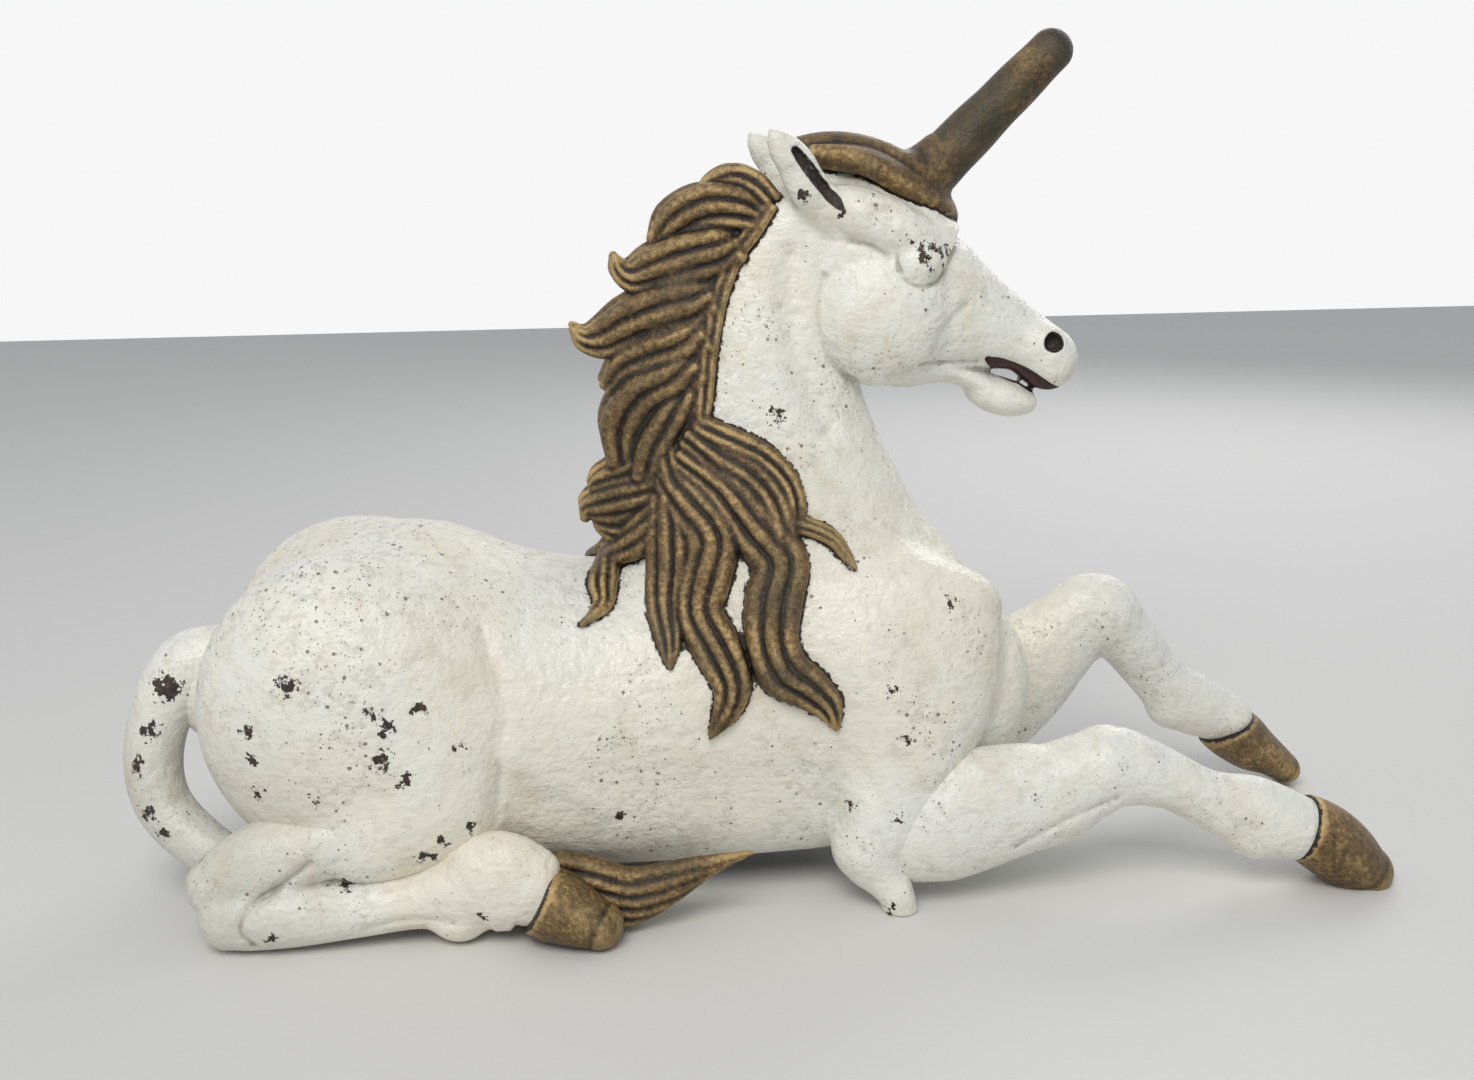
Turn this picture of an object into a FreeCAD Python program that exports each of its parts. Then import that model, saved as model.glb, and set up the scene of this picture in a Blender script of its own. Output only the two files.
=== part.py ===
import FreeCAD, Part
import math
import os
import Sketcher

# Lying unicorn, a hollow painted iron casting in two halves, with its legs, hooves, tail,
# mane and horn cast apart and bolted on. Millimetres, +X towards the head, +Z up, the right
# side of the animal towards -Y, the floor at Z 0, the parting plane at Y 0.

os.makedirs("parts", exist_ok=True)
doc = FreeCAD.newDocument("unicorn")
V = FreeCAD.Vector

# Driving dimensions
SIZES = {
    "figure_length": 640, "figure_width": 200, "figure_height": 430,
    "trunk_half_width": 80, "trunk_half_depth": 86, "neck_half_width": 68, "neck_half_depth": 100,
    "head_half_width": 40, "head_half_height": 44, "jaw_half_width": 20, "jaw_half_height": 12,
    "jowl_radius": 33, "eye_radius": 11, "ear_width": 26, "ear_thickness": 18,
    "thigh_length": 140, "thigh_depth": 152, "thigh_bulge": 88, "stifle_length": 74, "stifle_depth": 96,
    "stifle_bulge": 64, "shoulder_length": 116, "shoulder_depth": 140, "shoulder_bulge": 76,
    "casting_wall": 7, "casting_opening_length": 180, "casting_opening_width": 56,
    "foreleg_half_width": 22, "foreleg_half_depth": 34, "hind_leg_half_width": 19,
    "hind_leg_half_depth": 21, "knee_radius": 23, "elbow_stub_radius": 8, "elbow_stub_flare": 13,
    "elbow_stub_height": 22, "hoof_half_width": 21, "hoof_half_depth": 20, "tail_half_thickness": 16,
    "tuft_half_width": 12, "tuft_half_depth": 17, "mane_half_width": 26, "mane_half_depth": 24,
    "lock_half_width": 10, "lock_half_thickness": 8, "forelock_half_width": 20,
    "forelock_half_height": 11, "forelock_knob_radius": 10,
    "horn_length": 101, "horn_base_radius": 14.5, "horn_middle_radius": 12, "horn_tip_radius": 10.5,
    "horn_tip_rounding": 9.45, "horn_sink": 16, "horn_lean": 46, "horn_stud_radius": 5,
    "horn_stud_length": 56,
    "lug_radius": 19, "lug_length": 10, "tie_bolt_radius": 4, "tie_head_height": 5.5,
    "tie_head_radius": 7.5, "tie_nut_height": 6.5, "tie_washer_radius": 9, "tie_washer_thickness": 1.6,
    "tie_tail_length": 3, "bolt_clearance": 0.4,
    "leg_bolt_radius": 5, "fore_bolt_length": 49, "hind_bolt_length": 38, "leg_head_height": 6.5,
    "leg_head_radius": 9, "leg_seat_radius": 13, "leg_seat_length": 24,
    "hoof_stud_radius": 4, "hoof_stud_length": 26, "tuft_stud_radius": 3, "tuft_stud_length": 20,
    "tail_bolt_radius": 4, "tail_bolt_length": 28, "mane_pin_radius": 2.5, "mane_pin_length": 13,
}
sheet = doc.addObject("Spreadsheet::Sheet", "sizes")
for row, (name, value) in enumerate(SIZES.items(), start=1):
    sheet.set("A%d" % row, name)
    sheet.set("B%d" % row, str(value))
    sheet.setAlias("B%d" % row, name)
doc.recompute()


def size(name):
    return float(getattr(sheet, name))


LENGTH, WIDTH, HEIGHT = size("figure_length"), size("figure_width"), size("figure_height")
WALL = size("casting_wall")

# The middle of the figure's length as a share of it, measured from the sculptor's zero
MIDDLE_SHARE = 0.019


def place(x_share, y_share, z_share):
    """A point of the figure from shares of its length, width and height."""
    return V((x_share - MIDDLE_SHARE) * LENGTH, y_share * WIDTH, z_share * HEIGHT)


# Points that each oval is drawn through
RING_POINTS = 10


def ring(centre, normal, half_across, half_up):
    """A closed oval wire square to normal: half_across is sideways, half_up is in the upright plane."""
    across = V(0, 1, 0) - normal * normal.y
    across.normalize()
    up = normal.cross(across)
    points = []
    for step in range(RING_POINTS):
        turn = 2 * math.pi * step / RING_POINTS
        points.append(centre + across * (half_across * math.cos(turn)) + up * (half_up * math.sin(turn)))
    curve = Part.BSplineCurve()
    curve.interpolate(Points=points, PeriodicFlag=True,
                      Parameters=[step / RING_POINTS for step in range(RING_POINTS + 1)])
    return Part.Wire([curve.toShape()])


def limb(stations):
    """A smooth solid through ovals at stations (centre, half_across, half_up), each square to the path."""
    rings = []
    last = len(stations) - 1
    for index, (centre, half_across, half_up) in enumerate(stations):
        normal = stations[min(index + 1, last)][0] - stations[max(index - 1, 0)][0]
        normal.normalize()
        rings.append(ring(centre, normal, half_across, half_up))
    return Part.makeLoft(rings, True, False)


def stations_from(shares, half_across, half_up, side=-1, less=0):
    """Stations from rows of shares (x, y, z, half_across, half_up), with the side as a sign of Y."""
    return [(place(x, side * y, z), across * half_across - less, up * half_up - less)
            for x, y, z, across, up in shares]


def egg(centre, radius_x, radius_y, radius_z):
    """An ellipsoid: the unit ball stretched to three radii and moved to its centre."""
    stretch = FreeCAD.Matrix()
    stretch.scale(radius_x, radius_y, radius_z)
    ball = Part.makeSphere(1).transformGeometry(stretch)
    ball.translate(centre)
    return ball


def rod(start, direction, radius, length):
    return Part.makeCylinder(radius, length, start, direction)


def joined(shape, others):
    """One solid of overlapping ones, added one at a time."""
    for other in others:
        shape = shape.fuse(other)
    return shape


def mirrored(shape):
    return shape.mirror(V(0, 0, 0), V(0, 1, 0))


# Half spaces: the right side of the parting plane, and the space under the floor
ROOM = LENGTH + WIDTH + HEIGHT
right_side = Part.makeBox(2 * ROOM, ROOM, 2 * ROOM, V(-ROOM, -ROOM, -ROOM))
under_floor = Part.makeBox(2 * ROOM, 2 * ROOM, ROOM, V(-ROOM, -ROOM, -ROOM))


def on_floor(shape):
    return shape.cut(under_floor)


# The two sides of the animal as signs of Y
RIGHT = -1
LEFT = 1

# Trunk, neck, head and lower jaw: ovals whose places are shares of the figure and whose half
# sizes are shares of the widest oval
TRUNK_SHARES = [
    (-0.419, 0, 0.244, 0.225, 0.256), (-0.398, 0, 0.233, 0.56, 0.605), (-0.359, 0, 0.233, 0.825, 0.86),
    (-0.297, 0, 0.242, 0.975, 1.0), (-0.234, 0, 0.242, 1.0, 1.0), (-0.172, 0, 0.228, 0.9, 0.895),
    (-0.109, 0, 0.221, 0.85, 0.85), (-0.047, 0, 0.228, 0.875, 0.85), (0.016, 0, 0.240, 0.925, 0.885),
    (0.078, 0, 0.249, 0.95, 0.895), (0.141, 0, 0.251, 0.875, 0.815), (0.1875, 0, 0.242, 0.7, 0.63),
    (0.223, 0, 0.228, 0.375, 0.30)]
NECK_SHARES = [
    (0.070, 0, 0.209, 0.88, 0.98), (0.070, 0, 0.279, 1.0, 1.0), (0.055, 0, 0.349, 0.97, 0.93),
    (0.030, 0, 0.419, 0.82, 0.80), (0.019, 0, 0.488, 0.68, 0.66), (0.014, 0, 0.558, 0.57, 0.56),
    (0.016, 0, 0.628, 0.515, 0.50), (0.023, 0, 0.698, 0.456, 0.44), (0.042, 0, 0.767, 0.397, 0.38),
    (0.059, 0, 0.819, 0.324, 0.26), (0.069, 0, 0.847, 0.147, 0.12)]
HEAD_SHARES = [
    (0.059, 0, 0.786, 0.5, 0.5), (0.081, 0, 0.767, 0.8, 0.864), (0.1125, 0, 0.730, 0.95, 1.0),
    (0.134, 0, 0.691, 0.925, 1.0), (0.166, 0, 0.665, 0.725, 0.73), (0.197, 0, 0.651, 0.6, 0.48),
    (0.234, 0, 0.637, 0.525, 0.30), (0.255, 0, 0.616, 0.5, 0.295), (0.267, 0, 0.600, 0.3, 0.16)]
JAW_SHARES = [
    (0.153, 0, 0.623, 1.0, 1.0), (0.1875, 0, 0.598, 0.75, 0.75), (0.216, 0, 0.572, 0.7, 0.67),
    (0.236, 0, 0.563, 0.65, 0.58), (0.247, 0, 0.558, 0.4, 0.33)]
EAR_SHARES = [
    (0.080, 0.115, 0.780, 0.9, 0.7), (0.0625, 0.140, 0.814, 1.0, 1.0), (0.044, 0.160, 0.842, 0.8, 1.0),
    (0.030, 0.175, 0.865, 0.55, 0.62), (0.019, 0.185, 0.886, 0.17, 0.12)]
EAR_CUP_SHARES = [
    (0.070, 0.185, 0.802, 0.55, 0.3), (0.050, 0.205, 0.837, 0.75, 0.62), (0.034, 0.215, 0.863, 0.4, 0.25)]
THIGH_CENTRE_SHARES = (-0.309, 0.23, 0.256)
STIFLE_CENTRE_SHARES = (-0.250, 0.28, 0.200)
SHOULDER_CENTRE_SHARES = (0.109, 0.21, 0.244)
JOWL_CENTRE_SHARES = (0.106, 0.10, 0.672)
JOWL_BULGE_SHARE = 0.7
EYE_CENTRE_SHARES = (0.134, 0.165, 0.737)

trunk_width, trunk_depth = size("trunk_half_width"), size("trunk_half_depth")
neck_width, neck_depth = size("neck_half_width"), size("neck_half_depth")
head_width, head_height = size("head_half_width"), size("head_half_height")


def side_place(shares):
    """A place on the right of the animal: its sideways share counts away from the parting plane."""
    return place(shares[0], -shares[1], shares[2])


def bulge(shares, prefix, less=0):
    """The egg of muscle over the hip, the stifle or the shoulder."""
    return egg(side_place(shares), size(prefix + "_length") / 2 - less,
               size(prefix + "_bulge") / 2 - less, size(prefix + "_depth") / 2 - less)


ear = limb(stations_from(EAR_SHARES, size("ear_thickness") / 2, size("ear_width") / 2))
ear_cup = limb(stations_from(EAR_CUP_SHARES, size("ear_thickness") / 2, size("ear_width") / 2))
eye_size = size("eye_radius")
jowl_size = size("jowl_radius")

right_outer = limb(stations_from(TRUNK_SHARES, trunk_width, trunk_depth)).common(right_side)
right_outer = right_outer.fuse([
    limb(stations_from(NECK_SHARES, neck_width, neck_depth)).common(right_side),
    limb(stations_from(HEAD_SHARES, head_width, head_height)).common(right_side),
    limb(stations_from(JAW_SHARES, size("jaw_half_width"), size("jaw_half_height"))).common(right_side),
    bulge(THIGH_CENTRE_SHARES, "thigh").common(right_side),
    bulge(STIFLE_CENTRE_SHARES, "stifle"),
    bulge(SHOULDER_CENTRE_SHARES, "shoulder").common(right_side),
    egg(side_place(JOWL_CENTRE_SHARES), jowl_size, JOWL_BULGE_SHARE * jowl_size, jowl_size).common(right_side),
    egg(side_place(EYE_CENTRE_SHARES), eye_size, eye_size, eye_size),
    ear.cut(ear_cup)])
right_outer = on_floor(right_outer)

# The hollow inside the half casting follows the outside, one wall in
hollow = limb(stations_from(TRUNK_SHARES[1:-1], trunk_width, trunk_depth, less=WALL)).fuse([
    limb(stations_from(NECK_SHARES[:-2], neck_width, neck_depth, less=WALL)),
    bulge(THIGH_CENTRE_SHARES, "thigh", WALL)])
right_hollow = hollow.common(right_side)

# The casting opening in the belly, through which the core came out and the bolts are tightened
OPENING_CENTRE_SHARES = (-0.06, 0, 0.10)
opening_length, opening_width = size("casting_opening_length"), size("casting_opening_width")
opening_middle = place(*OPENING_CENTRE_SHARES)
opening_round = opening_width / 2
opening_straight = opening_length / 2 - opening_round
opening = Part.makeBox(2 * opening_straight, opening_width, 2 * opening_middle.z,
                       V(opening_middle.x - opening_straight, -opening_round, -opening_middle.z))
for end in (-opening_straight, opening_straight):
    opening = opening.fuse(rod(V(opening_middle.x + end, 0, -opening_middle.z), V(0, 0, 1),
                               opening_round, 2 * opening_middle.z))

# Lugs stand inside both halves at the parting plane, and a bolt draws each pair together
LUG_SHARES = [(-0.372, 0.220), (-0.235, 0.386), (-0.054, 0.400), (0.188, 0.290), (-0.034, 0.560),
              (0.064, 0.560), (-0.270, 0.098), (0.110, 0.134)]
lug_length = size("lug_length")
bolt_radius = size("tie_bolt_radius")
hole_radius = bolt_radius + size("bolt_clearance")
lug_places = [place(x, 0, z) for x, z in LUG_SHARES]
TO_LEFT = V(0, 1, 0)
lugs = [rod(spot - TO_LEFT * lug_length, TO_LEFT, size("lug_radius"), lug_length) for spot in lug_places]
lug_holes = [rod(spot - TO_LEFT * lug_length, TO_LEFT, hole_radius, lug_length) for spot in lug_places]

# Seats inside the shell for the bolts that hold the legs
leg_bolt_radius = size("leg_bolt_radius")
LEG_BOLT_SHARES = {"fore": (0.145, 0.135, 0.144), "hind": (-0.330, 0.31, 0.149)}
LEG_BOLT_WAYS = {"fore": V(0, -1, 0), "hind": V(0, 0, -1)}
seats = []
leg_holes = []
leg_spots = {}
for leg, way in LEG_BOLT_WAYS.items():
    spot = side_place(LEG_BOLT_SHARES[leg])
    leg_spots[leg] = spot
    seats.append(rod(spot, way, size("leg_seat_radius"), size("leg_seat_length")))
    leg_holes.append(rod(spot, way, leg_bolt_radius, size(leg + "_bolt_length")))

inside = right_outer.common(right_hollow)
right_shell = right_outer.cut(right_hollow)
for piece in lugs + seats:
    right_shell = right_shell.fuse(piece.common(inside))
for tool in [opening] + lug_holes + leg_holes:
    right_shell = right_shell.cut(tool)

left_outer = mirrored(right_outer)
left_shell = mirrored(right_shell)

# Forelegs: the right one lies along the floor from the elbow, the left one stands on a raised knee
FORELEG_RIGHT_SHARES = [
    (0.075, 0.30, 0.065, 0.55, 0.45), (0.100, 0.315, 0.075, 0.92, 0.88), (0.148, 0.335, 0.106, 1.0, 1.0),
    (0.184, 0.335, 0.119, 1.0, 0.86), (0.227, 0.33, 0.130, 0.93, 0.74), (0.2625, 0.33, 0.145, 0.88, 0.66),
    (0.291, 0.335, 0.153, 0.84, 0.60), (0.322, 0.34, 0.140, 0.70, 0.48), (0.356, 0.35, 0.113, 0.61, 0.45),
    (0.391, 0.355, 0.088, 0.66, 0.49), (0.422, 0.36, 0.072, 0.70, 0.48), (0.444, 0.365, 0.062, 0.68, 0.46),
    (0.464, 0.365, 0.052, 0.66, 0.44)]
FOREARM_LEFT_SHARES = [
    (0.184, 0.20, 0.163, 1.0, 0.97), (0.227, 0.23, 0.195, 0.95, 0.88), (0.269, 0.25, 0.228, 0.88, 0.76),
    (0.306, 0.265, 0.256, 0.82, 0.66), (0.334, 0.27, 0.270, 0.65, 0.44)]
CANNON_LEFT_SHARES = [
    (0.322, 0.265, 0.288, 0.55, 0.35), (0.3375, 0.27, 0.260, 0.80, 0.58), (0.3625, 0.275, 0.219, 0.73, 0.53),
    (0.384, 0.285, 0.177, 0.66, 0.49), (0.403, 0.29, 0.149, 0.68, 0.50), (0.425, 0.295, 0.130, 0.73, 0.50),
    (0.447, 0.30, 0.112, 0.70, 0.46), (0.464, 0.305, 0.096, 0.68, 0.44)]
KNEE_LEFT_SHARES = (0.330, 0.268, 0.258)
ELBOW_STUB_SHARES = (0.112, 0.375, 0)
foreleg_width, foreleg_depth = size("foreleg_half_width"), size("foreleg_half_depth")
stub_height = size("elbow_stub_height")
stub_foot = side_place(ELBOW_STUB_SHARES)
elbow_stub = Part.makeCone(size("elbow_stub_radius"), size("elbow_stub_flare"), stub_height, stub_foot)
foreleg_right = limb(stations_from(FORELEG_RIGHT_SHARES, foreleg_width, foreleg_depth, RIGHT)).fuse(elbow_stub)
knee_size = size("knee_radius")
foreleg_left = limb(stations_from(FOREARM_LEFT_SHARES, foreleg_width, foreleg_depth, LEFT)).fuse([
    limb(stations_from(CANNON_LEFT_SHARES, foreleg_width, foreleg_depth, LEFT)),
    Part.makeSphere(knee_size, place(*KNEE_LEFT_SHARES), TO_LEFT)])

# Hind legs: shank folded back under the thigh, cannon forward along the floor to the fetlock
SHANK_SHARES = [
    (-0.408, 0.34, 0.060, 0.45, 0.40), (-0.388, 0.335, 0.078, 0.92, 0.85), (-0.352, 0.33, 0.102, 1.1, 0.95),
    (-0.297, 0.33, 0.130, 1.2, 1.05), (-0.247, 0.33, 0.153, 1.2, 1.1)]
CANNON_HIND_SHARES = [
    (-0.411, 0.345, 0.046, 0.50, 0.45), (-0.394, 0.355, 0.048, 1.0, 1.0), (-0.356, 0.37, 0.044, 1.0, 0.93),
    (-0.305, 0.365, 0.044, 0.80, 0.76), (-0.258, 0.355, 0.049, 0.74, 0.68), (-0.222, 0.355, 0.050, 0.84, 0.84),
    (-0.195, 0.37, 0.052, 0.84, 0.84), (-0.175, 0.398, 0.049, 0.80, 0.72), (-0.153, 0.425, 0.041, 0.76, 0.68)]
hind_width, hind_depth = size("hind_leg_half_width"), size("hind_leg_half_depth")
hind_leg = limb(stations_from(CANNON_HIND_SHARES, hind_width, hind_depth, RIGHT)).fuse(
    limb(stations_from(SHANK_SHARES, hind_width, hind_depth, RIGHT)))

# Hooves: ovals from the coronet down to the toe, flat where they stand on the floor
HOOF_FORE_RIGHT_SHARES = [
    (0.441, 0.365, 0.063, 0.81, 0.80), (0.463, 0.365, 0.049, 0.95, 1.0), (0.491, 0.365, 0.033, 1.0, 0.85),
    (0.509, 0.365, 0.019, 0.88, 0.60), (0.522, 0.365, 0.009, 0.50, 0.28)]
HOOF_FORE_LEFT_SHARES = [
    (0.444, 0.30, 0.116, 0.81, 0.78), (0.466, 0.305, 0.098, 0.95, 0.97), (0.492, 0.31, 0.067, 1.0, 0.88),
    (0.514, 0.31, 0.035, 0.88, 0.68), (0.528, 0.31, 0.010, 0.52, 0.40)]
HOOF_HIND_SHARES = [
    (-0.172, 0.40, 0.047, 0.70, 0.70), (-0.156, 0.42, 0.042, 0.90, 0.92), (-0.1375, 0.445, 0.037, 1.0, 0.90),
    (-0.119, 0.465, 0.028, 0.75, 0.60), (-0.108, 0.475, 0.020, 0.40, 0.35)]
hoof_width, hoof_depth = size("hoof_half_width"), size("hoof_half_depth")
hooves = {
    "hoof_fore_right": limb(stations_from(HOOF_FORE_RIGHT_SHARES, hoof_width, hoof_depth, RIGHT)),
    "hoof_fore_left": limb(stations_from(HOOF_FORE_LEFT_SHARES, hoof_width, hoof_depth, LEFT)),
    "hoof_hind_right": limb(stations_from(HOOF_HIND_SHARES, hoof_width, hoof_depth, RIGHT)),
    "hoof_hind_left": limb(stations_from(HOOF_HIND_SHARES, hoof_width, hoof_depth, LEFT)),
}

# Each hoof meets its leg at the coronet, a flat face square to the pastern
CORONETS = {"hoof_fore_right": (HOOF_FORE_RIGHT_SHARES, RIGHT), "hoof_fore_left": (HOOF_FORE_LEFT_SHARES, LEFT),
            "hoof_hind_right": (HOOF_HIND_SHARES, RIGHT), "hoof_hind_left": (HOOF_HIND_SHARES, LEFT)}
JOINT_REACH = 2 * hoof_width


def coronet(name):
    """The middle of the flat joint between a hoof and its leg, and the way down the hoof."""
    shares, side = CORONETS[name]
    first, second = [station[0] for station in stations_from(shares[:2], hoof_width, hoof_depth, side)]
    way = second - first
    way.normalize()
    return first + (second - first) / 2, way


def hoof_side(name):
    middle, way = coronet(name)
    return rod(middle, way, JOINT_REACH, JOINT_REACH)


def leg_side(name):
    middle, way = coronet(name)
    return rod(middle, way.negative(), JOINT_REACH, JOINT_REACH)


hooves = {name: on_floor(hoof).cut(leg_side(name)) for name, hoof in hooves.items()}

# Each leg gives way to the shell, and ends at its coronet
foreleg_right = on_floor(foreleg_right).cut(right_outer).cut(left_outer).cut(hoof_side("hoof_fore_right"))
foreleg_left = on_floor(foreleg_left).cut(left_outer).cut(right_outer).cut(hoof_side("hoof_fore_left"))
hind_leg_right = on_floor(hind_leg).cut(right_outer).cut(hoof_side("hoof_hind_right"))

# Tail: out of the rump, round behind it and back to the right hock, then under the thigh to the
# tuft, which comes out in front of the stifle
TAIL_SHARES = [
    (-0.391, 0, 0.305, 0.95, 0.95), (-0.422, 0, 0.308, 1.0, 1.0), (-0.447, 0.01, 0.279, 0.98, 0.95),
    (-0.466, 0.025, 0.233, 0.94, 0.94), (-0.472, 0.045, 0.177, 0.90, 0.90), (-0.467, 0.075, 0.121, 0.87, 0.87),
    (-0.448, 0.12, 0.074, 0.81, 0.81), (-0.419, 0.17, 0.044, 0.75, 0.75), (-0.383, 0.21, 0.034, 0.70, 0.70),
    (-0.328, 0.22, 0.028, 0.68, 0.68), (-0.266, 0.22, 0.028, 0.68, 0.68), (-0.211, 0.24, 0.030, 0.68, 0.68),
    (-0.181, 0.275, 0.040, 0.62, 0.72)]
TUFT_SHARES = [
    (-0.184, 0.270, 0.042, 0.80, 0.72), (-0.150, 0.325, 0.053, 1.0, 0.95), (-0.109, 0.370, 0.049, 0.85, 0.86),
    (-0.070, 0.385, 0.046, 0.72, 0.68), (-0.034, 0.385, 0.060, 0.45, 0.42), (-0.008, 0.380, 0.084, 0.13, 0.12)]
tail_size = size("tail_half_thickness")
tail = on_floor(limb(stations_from(TAIL_SHARES, tail_size, tail_size, RIGHT)))
tuft = on_floor(limb(stations_from(TUFT_SHARES, size("tuft_half_width"), size("tuft_half_depth"), RIGHT)))
tail = tail.cut(right_outer).cut(left_outer).cut(hind_leg_right)
tuft = tuft.cut(right_outer).cut(hind_leg_right).cut(hooves["hoof_hind_right"]).cut(tail)


def between(table, column, value):
    """The rows of a table either side of a value, and how far the value lies from one to the other."""
    for low, high in zip(table, table[1:]):
        if (low[column] - value) * (high[column] - value) <= 0 and low[column] != high[column]:
            return low, high, (value - low[column]) / (high[column] - low[column])
    return None


def oval_side(offset, half_depth, half_width):
    """How far an oval reaches sideways at an offset from its middle."""
    inside_share = 1 - (offset / half_depth) ** 2
    return half_width * math.sqrt(inside_share) if inside_share > 0 else 0


def body_side(x_share, z_share):
    """How far the trunk, neck or shoulder reaches sideways at a place of the figure."""
    reach = 0
    found = between(TRUNK_SHARES, 0, x_share)
    if found:
        low, high, way = found
        middle, width, depth = [low[k] + way * (high[k] - low[k]) for k in (2, 3, 4)]
        reach = oval_side((z_share - middle) * HEIGHT, depth * trunk_depth, width * trunk_width)
    found = between(NECK_SHARES[1:], 2, z_share)
    if found:
        low, high, way = found
        middle, width, depth = [low[k] + way * (high[k] - low[k]) for k in (0, 3, 4)]
        reach = max(reach, oval_side((x_share - middle) * LENGTH, depth * neck_depth, width * neck_width))
    x, y, z = SHOULDER_CENTRE_SHARES
    offset = math.hypot((x_share - x) * LENGTH / size("shoulder_length"),
                        (z_share - z) * HEIGHT / size("shoulder_depth"))
    bulge_side = oval_side(2 * offset, 1, size("shoulder_bulge") / 2)
    return max(reach, y * WIDTH + bulge_side if bulge_side else 0)


# Mane: a crest of hair from the poll to the withers, with locks that turn up behind it and locks
# that lie down over the side of the neck and shoulder
CREST_SHARES = [
    (0.022, 0.035, 0.832, 0.45, 0.30), (-0.010, 0.050, 0.800, 0.62, 0.58), (-0.030, 0.060, 0.755, 0.72, 0.74),
    (-0.045, 0.065, 0.700, 0.80, 0.76), (-0.062, 0.070, 0.640, 0.85, 0.88), (-0.067, 0.080, 0.577, 0.95, 0.84),
    (-0.062, 0.090, 0.512, 1.1, 0.84), (-0.066, 0.095, 0.453, 1.1, 0.98), (-0.078, 0.090, 0.407, 0.85, 0.75)]
# Rows of shares (x, y, z, half_across, half_up)
CURL_SHARES = {
    "poll": [(0.012, 0.055, 0.828, 0.6, 0.7), (-0.010, 0.055, 0.826, 0.55, 0.65), (-0.030, 0.055, 0.820, 0.15, 0.2)],
    "upper": [(0.003, 0.085, 0.786, 0.8, 0.9), (-0.028, 0.085, 0.786, 0.85, 1.0), (-0.060, 0.070, 0.762, 0.3, 0.35)],
    "first": [(-0.010, 0.10, 0.748, 0.8, 0.9), (-0.040, 0.105, 0.730, 1.0, 1.1), (-0.070, 0.085, 0.716, 0.8, 0.85),
              (-0.092, 0.065, 0.738, 0.2, 0.25)],
    "second": [(-0.028, 0.115, 0.690, 0.9, 1.0), (-0.066, 0.115, 0.668, 1.1, 1.2), (-0.100, 0.085, 0.645, 0.8, 1.0),
               (-0.126, 0.060, 0.668, 0.2, 0.25)],
    "third": [(-0.070, 0.115, 0.485, 1.0, 1.0), (-0.098, 0.095, 0.482, 0.8, 0.8), (-0.116, 0.070, 0.481, 0.2, 0.25)],
    "fourth": [(-0.072, 0.115, 0.455, 1.0, 1.0), (-0.103, 0.095, 0.443, 0.8, 0.8), (-0.123, 0.070, 0.452, 0.2, 0.25)],
}
# Rows of shares (x, z, half_width): the lock lies on the body there
LOCK_SHARES = {
    "rear": [(-0.070, 0.500, 0.9), (-0.085, 0.425, 1.0), (-0.108, 0.393, 0.9), (-0.116, 0.362, 0.7),
             (-0.131, 0.335, 0.15)],
    "back": [(-0.050, 0.525, 1.0), (-0.053, 0.455, 1.1), (-0.065, 0.400, 1.0), (-0.068, 0.350, 0.8),
             (-0.066, 0.296, 0.15)],
    "middle": [(-0.035, 0.535, 1.0), (-0.032, 0.465, 1.2), (-0.027, 0.418, 1.2), (-0.030, 0.360, 1.1),
               (-0.022, 0.290, 1.0), (-0.031, 0.228, 0.5), (-0.034, 0.208, 0.15)],
    "long": [(-0.025, 0.540, 0.9), (0.000, 0.498, 1.1), (0.014, 0.460, 1.2), (0.016, 0.395, 1.2),
             (0.012, 0.337, 1.1), (0.022, 0.280, 1.0), (0.044, 0.249, 0.7), (0.062, 0.221, 0.15)],
    "front": [(-0.038, 0.555, 0.8), (-0.003, 0.521, 1.0), (0.022, 0.493, 0.9), (0.034, 0.456, 0.7),
              (0.056, 0.437, 0.6), (0.072, 0.412, 0.45), (0.082, 0.393, 0.12)],
}
LOCK_LIFT_SHARE = 0.15
CREST_SIDE_SHARE = 0.15
mane_width, mane_depth = size("mane_half_width"), size("mane_half_depth")
lock_width, lock_thickness = size("lock_half_width"), size("lock_half_thickness")
mane_right = limb(stations_from(CREST_SHARES, mane_width, mane_depth))
pieces = [limb(stations_from(shares, lock_width, lock_thickness, RIGHT)) for shares in CURL_SHARES.values()]
for shares in LOCK_SHARES.values():
    stations = []
    for x, z, width in shares:
        spot = place(x, 0, z)
        spot.y = -max(body_side(x, z), CREST_SIDE_SHARE * WIDTH) - LOCK_LIFT_SHARE * lock_thickness
        stations.append((spot, min(width, 1) * lock_thickness, width * lock_width))
    pieces.append(limb(stations))
mane_right = joined(mane_right.common(right_side), [piece.common(right_side) for piece in pieces])
mane_right = mane_right.cut(right_outer)

# Forelock: a cap of hair from between the ears to the foot of the horn, where it ends in a knob
FORELOCK_SHARES = [
    (0.045, 0, 0.858, 0.55, 0.45), (0.070, 0, 0.864, 0.85, 0.85), (0.100, 0, 0.862, 1.0, 1.0),
    (0.130, 0, 0.840, 1.0, 1.1), (0.155, 0, 0.810, 0.85, 0.95), (0.172, 0, 0.785, 0.55, 0.55)]
KNOB_SHARES = (0.174, 0, 0.778)
HORN_FOOT_SHARES = (0.152, 0, 0.826)
knob_size = size("forelock_knob_radius")
forelock = limb(stations_from(FORELOCK_SHARES, size("forelock_half_width"), size("forelock_half_height")))
forelock = forelock.fuse(egg(place(*KNOB_SHARES), knob_size, knob_size, knob_size))
forelock = forelock.cut(right_outer).cut(left_outer).cut(mane_right).cut(mirrored(mane_right))


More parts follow.
